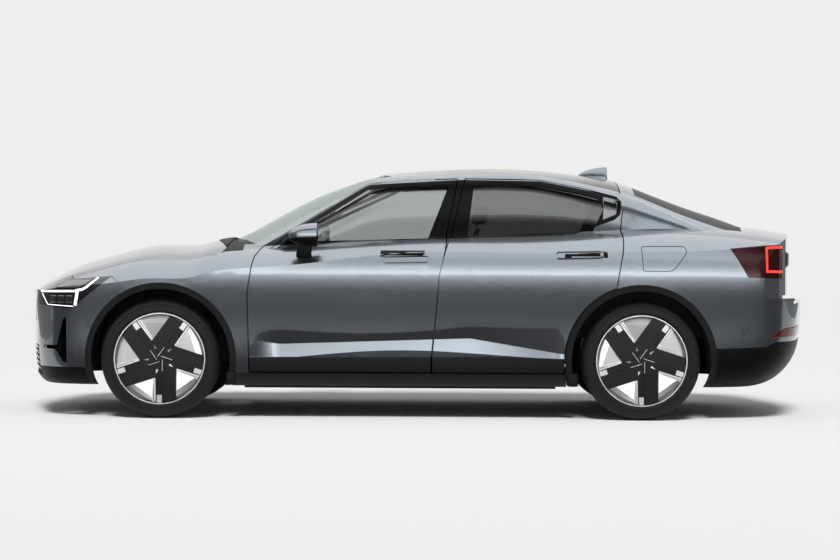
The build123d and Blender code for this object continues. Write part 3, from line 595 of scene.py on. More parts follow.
def spun(profile, steps=144, wave=None):
    """A profile (radius, height) turned about the axis: point = (r cos a, r sin a, h), with an optional
    wave(angle, r, h) added to the radius."""
    profile = np.asarray(profile, float)
    angle = np.linspace(0, 2 * np.pi, steps, endpoint=False)[:, None]
    r = np.broadcast_to(profile[:, 0], (steps, len(profile))).copy()
    h = np.broadcast_to(profile[:, 1], (steps, len(profile)))
    if wave:
        r = r + wave(angle, r, h)
    points = np.stack([r * np.cos(angle), r * np.sin(angle), h], -1)
    return points.reshape(-1, 3), grid_faces(steps, len(profile), close_rows=True)


def turned(shape, angle):
    """A shape turned by an angle about the wheel's axis."""
    points, faces = shape
    c, s = math.cos(angle), math.sin(angle)
    x, y, h = np.asarray(points, float).T
    return np.column_stack([c * x - s * y, s * x + c * y, h]), faces


def at_wheel(shape, centre, side):
    """From the wheel's own (across, up, outwards) in millimetres to the car, seen alike from either side."""
    points, faces = shape
    across, up, out = np.asarray(points, float).T
    x0, z0 = centre
    return np.column_stack([x0 - side * across * MM, side * out * MM, z0 + up * MM]), faces


def middle(name):
    """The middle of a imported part's box, in metres."""
    low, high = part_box(name)
    return [(a + b) / 2 for a, b in zip(low, high)]


print("wheel shapes can be worked out")

# %% [markdown]
# ## Wheels
# The wheel is a silver dish with five folds, covered by five flat black blades that close it for the wind,
# like a pinwheel. The dish is worked out sector by sector: inside a straight fold the metal rises towards
# the rim, outside it falls, so the two halves catch light from opposite sides. The blades are plates with
# small rounded edges, each beside a dark slot and a slim bright bar.

# %% Wheel shapes
SPOKES = 5
FOLD = 204.0
FACE_R = 252.0
FACE_H = 897.0


def dish_height(v):
    """Height of the dish at distance v along a sector's middle: up to the fold, then down again."""
    return FACE_H + 16.0 * np.minimum(v, FOLD) / FOLD - 0.42 * np.maximum(v - FOLD, 0.0)


def dish():
    """Per sector, inside the fold v = FOLD p, w = v tan(36) q; outside it v runs from the fold to the circle
    of FACE_R at the same w."""
    p, q = np.meshgrid(np.linspace(0, 1, 8), np.linspace(-1, 1, 17), indexing="ij")
    half = math.tan(math.pi / SPOKES)
    v_in = FOLD * (0.12 + 0.88 * p)
    w_in = v_in * half * q
    w_out = FOLD * half * q
    v_out = FOLD + p * (np.sqrt(FACE_R ** 2 - w_out ** 2) - FOLD)
    shapes = []
    for v, w in ((v_in, w_in), (v_out, w_out)):
        points = np.stack([w, v, dish_height(v)], -1).reshape(-1, 3)
        shapes.append((points, grid_faces(8, 17)))
    sector = gather(shapes)
    return gather([turned(sector, 2 * math.pi * k / SPOKES) for k in range(SPOKES)])


def spokewise(outline, low, high):
    """The plate with this outline (beside the spoke line, out along it), repeated round the wheel."""
    plate = prism([(s, -r) for s, r in outline], low, high)
    return [turned(plate, 2 * math.pi * k / SPOKES) for k in range(SPOKES)]


# outlines beside one spoke line: (beside, out) in millimetres
BLADE = [(17, 24), (95, 55), (95, 226), (84, 234), (17, 247)]
SLOT = [(-25, 96), (17, 12), (17, 246), (-25, 246)]
BAR = [(-35, 112), (-23, 112), (-21, 247), (-43, 243)]
GROOVE = [(-34, 140), (-32, 140), (-30.5, 246), (-33.5, 246)]
FOOT = [(-15, 206), (13, 206), (13, 246), (-15, 246)]
RAIL = [(-18, 96), (-14, 96), (-14, 196), (-18, 196)]
LINE = [(14.5, 4), (17, 6), (17, 70), (14.5, 70)]
OUTER_PAD = [(-11, 172), (11, 172), (11, 196), (-11, 196)]
INNER_PAD = [(-11, 112), (11, 112), (11, 158), (-11, 158)]
# profiles (radius, height): the rim's lip and barrel, the dark joint inside it, and the soft hub cover
BARREL = [(250, 880), (251, 914), (254, 918), (259, 918), (261, 913), (258, 890), (246, 720), (240, 712),
          (240, 700), (232, 700), (236, 730), (244, 862)]
LIP_JOINT = [(249.5, 905), (249.5, 915.5), (251, 916.2), (252, 914), (252, 905)]
HUB_COVER = [(0.01, FACE_H + 24), (20, FACE_H + 23.6), (26, FACE_H + 22), (28, FACE_H + 14)]
turn = np.linspace(0, 6.2, 40)
HUB_DISC = 62 * np.column_stack([np.cos(turn), np.sin(turn)])
silver = gather([dish(), spun(BARREL)]
                + spokewise(BAR, FACE_H + 4, FACE_H + 21) + spokewise(FOOT, FACE_H - 4, FACE_H + 17.5)
                + spokewise(LINE, FACE_H + 14, FACE_H + 24.5))
dark = gather(spokewise(BLADE, FACE_H + 2, FACE_H + 24) + spokewise(SLOT, FACE_H - 2, FACE_H + 17)
              + spokewise(GROOVE, FACE_H + 10, FACE_H + 21.4) + spokewise(RAIL, FACE_H + 10, FACE_H + 19)
              + spokewise(INNER_PAD, FACE_H + 13, FACE_H + 20) + spokewise(OUTER_PAD, FACE_H + 13, FACE_H + 19)
              + [prism(HUB_DISC, FACE_H, FACE_H + 20), spun(HUB_COVER, 60), spun(LIP_JOINT)])
print("wheel faces", len(silver[1]) + len(dark[1]))

# %% [markdown]
# ## Tyres
# A tyre is its profile turned once about the axle: the bead, the rounded sidewall with two fine ribs, and
# the tread with four grooves round it. Short slanted notches cross the shoulders of the tread.

# %% Tyre shape
NOTCHES = 76
NOTCH_DEPTH = 4.0
TREAD_MIDDLE = 800.0
TYRE_PROFILE = [(248, 700), (256, 688), (262, 681), (275, 677.6), (290, 678), (306, 682), (318, 688),
                (326, 696), (331, 706), (334.6, 720), (337, 734), (331, 736), (331, 744), (338.5, 746),
                (339.4, 776), (333, 778), (333, 788), (339.9, 790), (340, 810), (333, 812), (333, 822),
                (339.4, 824), (338.5, 854), (331, 856), (331, 864), (337, 866), (334.6, 880), (331, 894),
                (326, 904), (318, 912), (312, 915.5), (310.5, 918.6), (308, 918.8), (306.5, 917), (296, 920.5),
                (285, 922.3), (277, 922.4), (275.5, 924), (272.5, 924), (271, 922), (264, 920), (260, 917),
                (256, 913), (252, 908), (248, 902)]


def tread(angle, r, h):
    """Narrow notches round the shoulders, where the sine of NOTCHES times the angle is high, slanted by the
    height h and fading to the middle."""
    off = h - TREAD_MIDDLE
    shoulder = np.clip((np.abs(off) - 58.0) / 12.0, 0, 1) * np.clip((r - 322.0) / 6.0, 0, 1)
    notch = np.clip(np.sin(NOTCHES * angle + 0.05 * off) * 4.0 - 2.6, 0, 1)
    return -NOTCH_DEPTH * shoulder * notch


tyre_shape = spun(TYRE_PROFILE, 456, tread)
print("tyre faces", len(tyre_shape[1]))

# %% [markdown]
# ## Four wheels
# The same three shapes serve at all four corners. Each is turned to face outwards, is moved to the middle of
# its packed tyre, and rides with its wheel's own body, so that it rolls and steers with it.

# %% Place the wheels
blade_black = grained("blade_black", (0.010, 0.010, 0.011), 0.34, grain=900, depth=0.06, coat=0.25)
for place in ("front", "rear"):
    for side, hand in SIDES:
        x0, _, z0 = middle(f"{place}_tyre_{hand}")
        body = f"{place}_wheel_{hand}"
        rim_piece = build(f"{place}_silver_{hand}", at_wheel(silver, (x0, z0), side), rim_silver, body,
                          flat=True)
        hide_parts(f"{place}_rim_{hand}")
        build(f"{place}_blades_{hand}", at_wheel(dark, (x0, z0), side), blade_black, body, flat=True,
              bevel=0.0012)
        tyre_piece = build(f"{place}_rubber_{hand}", at_wheel(tyre_shape, (x0, z0), side), tyre_rubber, body)
        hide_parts(f"{place}_tyre_{hand}")
print("four wheels placed")

# %% [markdown]
# ## Parts that lie on the skin
# Lamps, reflectors and trim lines follow the curved body. Their outline is drawn flat, in side view or in
# end view, and `on_skin` drops each point along the view on to the body. It does so with a Shrinkwrap on a
# loose set of points that is read once and thrown away, so the finished slab is plain geometry that touches
# the skin everywhere.

# %% Drop points on the skin
AXIS = {"x": 0, "y": 1, "z": 2}
FAR_OUT = 3.0


def drop(start, axis, towards, target):
    """Where points (n, 3) in metres first meet the target as they move along an axis, up it where towards is
    1 and down it where it is -1. A point that meets nothing stays."""
    mesh = bpy.data.meshes.new("probe")
    mesh.from_pydata(start.tolist(), [], [])
    probe = bpy.data.objects.new("probe", mesh)
    scene.collection.objects.link(probe)
    wrap = probe.modifiers.new("wrap", "SHRINKWRAP")
    wrap.wrap_method, wrap.target = "PROJECT", target
    setattr(wrap, f"use_project_{axis}", True)
    wrap.use_negative_direction, wrap.use_positive_direction = towards < 0, towards > 0
    landed = coords(probe.evaluated_get(bpy.context.evaluated_depsgraph_get()).to_mesh())
    bpy.data.objects.remove(probe)
    bpy.data.meshes.remove(mesh)
    return landed


def on_skin(points, axis, sign, target):
    """Points dropped along one axis from far out on the side given by sign. A point that meets nothing takes
    the middle of those that do."""
    k = AXIS[axis]
    start = np.array(points, float)
    start[:, k] = sign * FAR_OUT
    landed = drop(start, axis, -sign, target)
    missed = np.abs(landed[:, k]) > FAR_OUT - 0.1
    if missed.any() and not missed.all():
        landed[missed, k] = np.median(landed[~missed, k])
    return landed


print("points can be dropped along", *AXIS)

# %% [markdown]
# ## Flat outlines
# A light bar or a joint is a band along a line, and a lens or a pane is a patch with four corners. Both are
# drawn as grids of points and not as one big face, because only a grid can bend with the body once it is
# dropped on it.

# %% Bands and patches


def ribbon(path, widths, steps=40, across=4):
    """A flat band along a polyline: each step's point plus the side normal times width q, q from -1/2 to 1/2.
    Returns (steps, across, 2)."""
    path = np.asarray(path, float)
    run = np.concatenate([[0], np.cumsum(np.hypot(*np.diff(path, axis=0).T))])
    at = np.linspace(0, run[-1], steps)
    line = np.column_stack([np.interp(at, run, path[:, 0]), np.interp(at, run, path[:, 1])])
    width = np.interp(at, run, np.broadcast_to(widths, len(path)))
    way = np.gradient(line, axis=0)
    way /= np.linalg.norm(way, axis=1, keepdims=True)
    normal = np.column_stack([-way[:, 1], way[:, 0]])
    q = np.linspace(-0.5, 0.5, across)
    return line[:, None, :] + normal[:, None, :] * (width[:, None] * q)[..., None]


def patch(corners, n=24, m=8):
    """A four-cornered flat patch, corners (lower left, lower right, upper right, upper left), as a blend
    of its corners. Returns (n, m, 2)."""
    a, b, c, d = np.asarray(corners, float)
    s, t = np.meshgrid(np.linspace(0, 1, n), np.linspace(0, 1, m), indexing="ij")
    s, t = s[..., None], t[..., None]
    return (1 - s) * (1 - t) * a + s * (1 - t) * b + s * t * c + (1 - s) * t * d


print("bands and patches ready")

# %% [markdown]
# ## Slabs on the skin
# A part that is laid on has a thickness, and its edge stands a little off the paint. `slab` copies the
# dropped grid outwards and inwards along the view and closes the edge between the two. Solidify goes along
# the normals instead, which would widen a slab wherever the body has a crease.

# %% Slabs


def shell_faces(n, m):
    """Faces of a closed slab of two n by m grids, the second one's points after the first one's: both grids
    and the band round their edge."""
    edge = np.concatenate([np.arange(m), np.arange(1, n) * m + m - 1, (n - 1) * m + np.arange(m - 2, -1, -1),
                           np.arange(n - 2, 0, -1) * m])
    turn = np.roll(edge, -1)
    band = np.column_stack([edge, turn, turn + n * m, edge + n * m]).tolist()
    return grid_faces(n, m) + grid_faces(n, m, start=n * m) + band


def slab(flat, axis, sign, target, proud, sunk):
    """A closed slab over a flat grid (n, m, 2): its outer face stands proud of the skin, its inner lies sunk."""
    n, m = flat.shape[:2]
    k = AXIS[axis]
    points = np.zeros((n * m, 3))
    points[:, [i for i in range(3) if i != k]] = flat.reshape(-1, 2) * MM
    skin = on_skin(points, axis, sign, target)
    outer, inner = skin.copy(), skin.copy()
    outer[:, k] += sign * proud * MM
    inner[:, k] -= sign * sunk * MM
    return np.concatenate([outer, inner]), shell_faces(n, m)


body_of = {name: body for body, names in frame["record"]["behaviour"]["bodies"].items() for name in names}


def lay(name, flats, node, finish, proud=1.5, sunk=2.0, axis="y", sides=(-1, 1)):
    """Slabs on both sides of the car, or on the sides given, as one piece riding with the node they lie on."""
    shapes = [slab(grid, axis, side, nodes[node], proud, sunk) for grid in flats for side in sides]
    return build(name, gather(shapes), finish, body_of[node])


print("parts that can carry a slab", len(body_of))

# %% [markdown]
# ## Lamps
# The headlamp is a dark glass housing with one white line in it, a hammer lying on its side. Below the line
# sit the dipped beam lenses, above it a satin lid. The tail lamp is dark red glass with a bright bracket.

# %% Headlamps and tail lamps


def glow(name, colour, strength):
    """A lit lens: a bright diffuser whose light is a little uneven along its length."""
    finish = Finish(name, Base_Color=colour, Roughness=0.25, Emission_Strength=strength, Specular_IOR_Level=0.3)
    uneven = finish.noise(60, 1.0)
    finish.set(Emission_Color=finish.mix(uneven, tuple(v * 0.85 for v in colour), colour))
    return finish


day_white = glow("day_white", (0.95, 0.97, 1.0), 1.6)
tail_glow = glow("tail_glow", (1.0, 0.035, 0.025), 1.5)
lamp_satin = grained("lamp_satin", (0.16, 0.165, 0.17), 0.3, grain=60, depth=0.02, coat=0.8, metallic=0.5)
lens_chrome = grained("lens_chrome", (0.10, 0.105, 0.11), 0.15, grain=60, depth=0.02, coat=0.8, metallic=0.9)
# the hammer: upper line, head, handle that sweeps up to the wing, front edge and lower line
HAMMER = [ribbon([(-2172, 716), (-1990, 719), (-1938, 719)], 11), ribbon([(-1934, 727), (-1950, 638)], 16, 20),
          ribbon([(-1948, 722), (-1905, 730), (-1880, 744), (-1816, 799)], (13, 13, 11, 8)),
          ribbon([(-2160, 704), (-2122, 644)], 5, 16), ribbon([(-2122, 641), (-1960, 632)], 4)]
lay("day_lights", HAMMER, "headlamps", day_white, proud=1.2)
lay("lamp_lids", [patch([(-2070, 738), (-1925, 742), (-1850, 786), (-2010, 776)])], "headlamps", lamp_satin,
    proud=0.8)
BEAMS = [patch([(x, 652), (x + 38, 652), (x + 38, 694), (x, 694)], 8, 8) for x in (-2104, -2054, -2004)]
lay("beam_lenses", BEAMS, "headlamps", lens_chrome, proud=0.9)
BRACKET = [ribbon([(1991, 850), (1989, 984)], 13, 24), ribbon([(1984, 984), (2098, 991)], 13),
           ribbon([(1986, 851), (2098, 848)], 13)]
lay("tail_brackets", BRACKET, "tail_lamps", tail_glow, proud=1.2)
print("lamps laid")

# %% [markdown]
# ## Sweeps
# Mirror housings, seats, handles and the dashboard's roll are all sweeps: a rounded section is carried along
# and changes its size on the way. The section is a superellipse, a circle that swells towards a box.

# %% Sweeps


def oval(around, power):
    """cos and sin of one turn in equal steps, each to the power 2 / power with its sign kept: a circle at 2, a
    rounded box above."""
    turn = np.linspace(0, 2 * np.pi, around, endpoint=False)
    c, s = np.cos(turn), np.sin(turn)
    return np.sign(c) * np.abs(c) ** (2 / power), np.sign(s) * np.abs(s) ** (2 / power)


def sweep(rings):
    """A closed skin through rings of points (k, m, 3), each end closed by a fan round its middle point."""
    k, m = rings.shape[:2]
    around = np.arange(m)
    beside = (around + 1) % m
    first, last = k * m, (k - 1) * m
    faces = grid_faces(k, m, close_columns=True)
    faces += np.column_stack([np.full(m, first), beside, around]).tolist()
    faces += np.column_stack([np.full(m, first + 1), last + around, last + beside]).tolist()
    return np.concatenate([rings.reshape(-1, 3), [rings[0].mean(0), rings[-1].mean(0)]]), faces


def stack(levels, power=5.0, around=48):
    """A closed block of rounded rectangles stacked up: each level is (z, x0, x1, y0, y1) in millimetres."""
    c, s = oval(around, power)
    rings = [np.stack([(x0 + x1) / 2 + (x1 - x0) / 2 * c, (y0 + y1) / 2 + (y1 - y0) / 2 * s, z + 0 * c], axis=1)
             for z, x0, x1, y0, y1 in levels]
    return sweep(np.stack(rings) * MM)


print("sweeps ready")

# %% [markdown]
# ## Mirrors
# A mirror housing is a rounded shell, blunt at the front and cut off flat behind, on a small dark foot. Its
# upper shell is painted and the lower one is left black. Superellipse sections that swell from a point give
# such a form in one sweep.

# %% Mirror housings


def housing(side, start, length, centre, half, swell, power, blunt, lean=0.0, steps=28):
    """Rings along x: half size times (1 - (1 - s)^swell)^(1/blunt), s from the tip, about the centre (y, z)."""
    s = np.linspace(0.004, 1.0, steps)[:, None] ** 1.6
    grow = (1 - (1 - s) ** swell) ** (1 / blunt)
    c, v = oval(56, power)
    x = start + length * s + 0 * c
    y = side * (centre[0] + half[0] * grow * c)
    z = centre[1] + half[1] * grow * v + lean * (s - 0.5)
    return np.stack([x, y, z], axis=2) * MM


def mirror_mask(x, y, z):
    """1 on the housing's dark lower shell."""
    return ((1.033 + (x + 0.65) * 0.05 - z) * EDGE + 0.5).clamp()


mirror_paint = body_finish("mirror_paint", mirror_mask, lining=False)
mirror_silver = grained("mirror_silver", (0.85, 0.86, 0.87), 0.05, grain=30, depth=0.005, metallic=1.0, cloud=0.01)
# rings inside the housing's rim: (share of the rim, metres behind it)
INNER_RINGS = ((0.97, 0.004), (0.90, 0.004), (0.88, -0.004), (0.60, -0.004), (0.05, -0.004))
GLASS_RINGS = ((0.86, -0.0035), (0.84, -0.002), (0.5, -0.002), (0.03, -0.002))
# levels of the foot: (z, x0, x1, y0, y1)
MIRROR_FOOT = [(925, -694, -606, 832, 862), (948.1, -690, -604, 848, 880), (971.2, -684, -600, 868, 905),
               (991, -676, -600, 885, 925)]


def shrunk(ring, shares):
    """Copies of a ring (1, m, 3) at shares of its size about its middle, each moved along x."""
    centre = ring.mean(axis=1, keepdims=True)
    return np.concatenate([centre + (ring - centre) * share + [dx, 0, 0] for share, dx in shares])


for side, hand in SIDES:
    node = f"mirror_{hand}"
    shell = housing(side, -733, 160, (912, 1044), (74, 67), 2.3, 2.6, 2.0, lean=4)
    head = build(f"mirror_shell_{hand}", sweep(np.concatenate([shell, shrunk(shell[-1:], INNER_RINGS)])),
                 mirror_paint, body_of[node])
    build(f"mirror_glass_{hand}", sweep(shrunk(shell[-1:], GLASS_RINGS)), mirror_silver, body_of[node])
    foot = stack([(z, x0, x1, side * y0, side * y1) for z, x0, x1, y0, y1 in MIRROR_FOOT], 3.0, 32)
    build(f"mirror_foot_{hand}", foot, dark_plastic, body_of[node])
    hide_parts(node)
print("mirrors built")

# %% [markdown]
# ## Roof fin
# The fin is the same kind of sweep as the mirrors, low and long, and drawn in towards its upper edge.

# %% Fin
FIN_FOOT, FIN_HEIGHT = 1404, 63
fin_rings = housing(1, 952, 182, (0, FIN_FOOT), (33, FIN_HEIGHT), 1.9, 2.6, 1.5, steps=24)
up_the_fin = np.clip((fin_rings[..., 2] / MM - FIN_FOOT) / FIN_HEIGHT, 0, 1)
fin_rings[..., 1] *= 1 - 0.62 * up_the_fin
fin_shape = sweep(np.concatenate([fin_rings, shrunk(fin_rings[-1:], ((0.82, 0.004),))]))
fin = build("fin_shell", fin_shape, plain_paint, body_of["roof_fin"])
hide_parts("roof_fin")
print("fin built")

# %% [markdown]
# ## Trim that is laid on
# The charge flap and the sensor dots are separate parts that sit flush, so all that shows is a fine dark
# joint round them. The rear reflectors are thin red slabs low on the bumper's corners.

# %% Flap, sensors, reflectors


def ring_path(corners, radius=14):
    """A closed path round a polygon, each corner a short curve (1 - t)^2 a + 2 t (1 - t) corner + t^2 b
    between the points a and b at the radius from it."""
    path = []
    corners = np.asarray(corners, float)
    for before, corner, after in zip(np.roll(corners, 1, 0), corners, np.roll(corners, -1, 0)):
        a = corner + (before - corner) / np.linalg.norm(before - corner) * radius
        b = corner + (after - corner) / np.linalg.norm(after - corner) * radius
        for t in np.linspace(0, 1, 5):
            path.append((1 - t) ** 2 * a + 2 * t * (1 - t) * corner + t ** 2 * b)
    return np.array(path + path[:1])


# black for the fine joints round flap and sensors, and for the painted shade behind the door handles
joint_and_shade_black = grained("joint_and_shade_black", (0.006, 0.006, 0.006), 0.6, grain=500, depth=0.1, shine=0.1)
reflector_red = grained("reflector_red", (0.10, 0.005, 0.004), 0.2, grain=260, depth=0.25, coat=0.5)
FLAP = [(1268, 990), (1280, 849), (1432, 849), (1462, 866), (1528, 960), (1514, 991)]
lay("flap_joint", [ribbon(ring_path(FLAP), 3.5, 110, 2)], "side_frame_left", joint_and_shade_black, proud=0.5,
    sunk=1.0, sides=(-1,))
REFLECTOR = patch([(2010, 468), (2246, 480), (2250, 540), (2105, 526)], 90, 10)
lay("rear_reflectors", [REFLECTOR], "rear_bumper", reflector_red, proud=3.0)
NOSE_DOT = [ribbon(ring_path([(-1880, 516), (-1852, 516), (-1852, 544), (-1880, 544)], 13), 2.2, 40, 2)]
TAIL_DOT = [ribbon(ring_path([(1850, 500), (1880, 500), (1880, 530), (1850, 530)], 14), 2.2, 40, 2)]
lay("nose_sensors", NOSE_DOT, "front_bumper", joint_and_shade_black, proud=0.4, sunk=1.0)
lay("tail_sensors", TAIL_DOT, "rear_bumper", joint_and_shade_black, proud=0.4, sunk=1.0)
print("trim laid")

# %% [markdown]
# ## Seats
# A car seat is three foam pads in sewn covers: the cushion, the backrest with its side bolsters, and the
# head restraint. Each starts as a rounded block in a tilted frame of its own. The cover is then blown up a
# little as cloth under pressure, which crowns it and pulls the corners in, and the sewn channels are
# pressed in afterwards along straight lines.

# %% Pad shapes


def pad(half, power=(0.42, 0.34), bolster=0.0):
    """A rounded block about the origin: x = a c(v) c(u), y = b c(v) s(u), z = c s(v) with c and s the cosine
    and sine to a small power. The upper side swells towards its y edges by bolster (y / b)^4."""
    u = np.linspace(0, 2 * np.pi, 64, endpoint=False)
    v = np.linspace(-np.pi / 2, np.pi / 2, 36)[:, None]

    def soft(value, p):
        return np.sign(value) * np.abs(value) ** p

    x = half[0] * soft(np.cos(v), power[0]) * soft(np.cos(u), power[1])
    y = half[1] * soft(np.cos(v), power[0]) * soft(np.sin(u), power[1])
    z = half[2] * soft(np.sin(v), power[0]) * np.ones_like(u)
    z = z + np.where(z > 0, bolster * (y / half[1]) ** 4 * z / half[2], 0)
    return np.stack([x, y, z], axis=2) * MM


def tilted(points, degrees, place):
    """Turned about y, so that x leans up by the angle, and moved to a place in millimetres."""
    c, s = math.cos(math.radians(degrees)), math.sin(math.radians(degrees))
    x, z = points[..., 0] * c - points[..., 2] * s, points[..., 0] * s + points[..., 2] * c
    return np.stack([x, points[..., 1], z], axis=-1) + np.array(place) * MM


def tilted_pad(half, degrees, place, **form):
    """The closed shape of a pad, tilted and in its place."""
    return sweep(tilted(pad(half, **form), degrees, place)[1:-1])


print("pad shapes ready")

# %% [markdown]
# ## Covers under pressure
# Foam pushes its cover out from inside, so a pad is full in the middle and tight at its edges. A cloth
# simulation with pressure gives just that, where a formula would look stiff. All pads run together in one
# pass through the frames, and a cap on each point's way keeps every pad in its place.

# %% Blow up the covers
VOXEL = 0.008
CLOTH_FRAMES = 20
PRESSURE = 4.0


def modified(piece):
    """A new mesh of the piece as its modifiers leave it."""
    return bpy.data.meshes.new_from_object(piece.evaluated_get(bpy.context.evaluated_depsgraph_get()))


def blow_up(pieces, caps):
    """Covers as cloth under pressure, all at once: remesh, run, keep each point within its cap of where it
    started, and leave a plain mesh."""
    starts = []
    for piece in pieces:
        remesh = piece.modifiers.new("remesh", "REMESH")
        remesh.mode, remesh.voxel_size = "VOXEL", VOXEL
        solid = modified(piece)
        piece.modifiers.clear()
        finish = piece.data.materials[0]
        piece.data = solid
        solid.materials.clear()
        solid.materials.append(finish)
        starts.append(coords(solid))
        cloth = piece.modifiers.new("cover", "CLOTH")
        cloth.settings.use_pressure = True
        cloth.settings.uniform_pressure_force = PRESSURE
        cloth.settings.effector_weights.gravity = 0.0
        cloth.point_cache.frame_end = CLOTH_FRAMES
    for frame_number in range(1, CLOTH_FRAMES + 1):
        scene.frame_set(frame_number)
    for piece, start, cap in zip(pieces, starts, caps):
        moved = modified(piece)
        shift = coords(moved) - start
        size = np.linalg.norm(shift, axis=1, keepdims=True)
        shift *= np.minimum(1.0, cap * MM / np.maximum(size, 1e-9))
        piece.modifiers.clear()
        piece.data.vertices.foreach_set("co", (start + shift).ravel())
        piece.data.update()
        bpy.data.meshes.remove(moved)
    scene.frame_set(1)


print("cloth frames", CLOTH_FRAMES)

# %% [markdown]
# ## Sewn channels
# A row of stitches pulls the cover down into the foam along a line. The groove has soft shoulders, so its
# depth is a bell curve of the distance to the line. Pinned points in the simulation could do it too, but a
# sum on the finished points is exact and takes no time.

# %% Sew
CHANNEL_DEPTH = 9.0
CHANNEL_WIDTH = 7.0


def sew(piece, degrees, place, lines):
    """Channels pressed into a pad's front: their depth times exp(-(d / width)^2), d the distance to each line
    in the pad's own frame. A line is ("x", at, 0), or ("y", at, slope) on both sides, fanning out with x."""
    points = coords(piece.data)
    own = tilted(points - np.array(place) * MM, -degrees, (0, 0, 0)) / MM
    press = np.zeros(len(own))
    for axis, at, slope in lines:
        d = own[:, 0] - at if axis == "x" else np.abs(own[:, 1]) - (at + slope * own[:, 0])
        press = np.maximum(press, CHANNEL_DEPTH * np.exp(-(d / CHANNEL_WIDTH) ** 2))
    press *= np.clip(own[:, 2] / 12, 0, 1)
    c, s = math.cos(math.radians(degrees)), math.sin(math.radians(degrees))
    points += np.array([s, 0, -c]) * press[:, None] * MM
    piece.data.vertices.foreach_set("co", points.ravel())
    piece.data.update()


print("channels", CHANNEL_DEPTH, "mm deep")

# %% [markdown]
# ## The pads of the car
# A front seat has three pads and the bench has two. The right front seat is the left one's mesh mirrored,
# with its faces turned outwards again, so the cloth has to run only once for both.

# %% Pads
SEAT_Y = 370
# name: half size, bolster, degrees, place, cap of the swelling, channels; the first three make a front seat
PADS = {
    "cushion": ((232, 222, 56), 16, 4, (-92, -SEAT_Y, 500), 12,
                [("y", 140, 0.05), ("x", -150, 0), ("x", -40, 0), ("x", 70, 0)]),
    "back": ((232, 214, 48), 20, 72, (272, -SEAT_Y, 822), 12,
             [("y", 138, -0.05), ("x", -110, 0), ("x", 0, 0), ("x", 110, 0)]),
    "head": ((52, 112, 36), 0, 80, (372, -SEAT_Y, 1170), 6, []),
    "bench": ((190, 560, 54), 4, 5, (812, 0, 560), 12,
              [("y", 20, 0), ("y", 200, 0), ("y", 380, 0), ("x", -90, 0)]),
    "bench_back": ((218, 552, 40), 4, 76, (1098, 0, 838), 10,
                   [("y", 20, 0), ("y", 200, 0), ("y", 380, 0), ("x", 120, 0)]),
}
pads = [build(f"{label}_pad", tilted_pad(half, degrees, place, bolster=bolster), seat_cloth, "body")
        for label, (half, bolster, degrees, place, _, _) in PADS.items()]
blow_up(pads, [cap for *_, cap, _ in PADS.values()])
for piece, (_, _, degrees, place, _, lines) in zip(pads, PADS.values()):
    sew(piece, degrees, place, lines)
for piece in pads[:3]:
    mesh = piece.data.copy()
    mesh.vertices.foreach_set("co", (coords(mesh) * [1, -1, 1]).ravel())
    mesh.flip_normals()
    twin = bpy.data.objects.new(piece.name + "_right", mesh)
    scene.collection.objects.link(twin)
    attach(twin, "body")
    pads.append(twin)
for piece in pads:
    piece.data.polygons.foreach_set("use_smooth", np.full(len(piece.data.polygons), True))
print("pads", len(pads))

# %% [markdown]
# ## Frames under the seats, and the console
# The pads stand on a dark shell with rails under it, the head pad on two chromed posts. A console runs
# between the front seats.

# %% Bases and console
shapes, posts = [], []
for side in (-1, 1):
    y = side * SEAT_Y
    shapes.append(stack([(452, -285, 130, y - 200, y + 200), (405, -270, 190, y - 215, y + 215),
                         (372, -240, 230, y - 212, y + 212), (350, -225, 225, y - 200, y + 200)]))
    shapes.append(tilted_pad((215, 205, 18), 72, (322, y, 800)))
    for rail in (y - 165, y + 165):
        shapes.append(stack([(352, -262, 262, rail - 18, rail + 18), (313, -270, 270, rail - 22, rail + 22)]))
    for post in (y - 55, y + 55):
        posts.append(stack([(1045, 343, 355, post - 6, post + 6), (1150, 362, 374, post - 6, post + 6)], 2.0, 20))
bases = build("seat_bases", gather(shapes), dark_plastic, "body")
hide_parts("front_seats", "rear_seat")
build("head_posts", gather(posts), mirror_silver, "body")
console = stack([(312.5, -366, 330, -96, 96), (440, -368, 335, -94, 94), (520, -370, 335, -88, 88),
                 (548, -362, 328, -80, 80), (556, -340, 300, -66, 66)])
build("console", console, dark_plastic, "body")
under_bench = stack([(313, 628, 822, -560, 560), (480, 628, 822, -560, 560), (505, 640, 815, -552, 552)])
build("bench_base", under_bench, dark_plastic, "body")
print("bases and console built")

# %% [markdown]
# ## Mats
# A moulded mat lies in each of the four footwells, with a raised rim that keeps the water in. It is a stack
# of rounded rectangles that goes up the edge, over the rim and down to the tread, which is simpler than a
# flat sheet with a bent border.

# %% Mats
MATS = [(-960, -400, 150, 610), (330, 600, 150, 590)]
# up the outer edge, in over the rim and down to the tread: (z, inset)
MAT_LEVELS = ((312.6, 0), (319, 0), (320, 12), (316, 22))
mats = [stack([(z, x0 + inset, x1 - inset, side * (y0 + inset), side * (y1 - inset)) for z, inset in MAT_LEVELS])
        for x0, x1, y0, y1 in MATS for side in (-1, 1)]
build("floor_mats", gather(mats), seat_cloth, "body")
print("mats laid")

# %% [markdown]
# ## Dashboard
# The dashboard body is packed already. On it lie a soft top roll, an upright tablet in the middle and a low
# display in front of the driver. Four dark vents lie on its face.

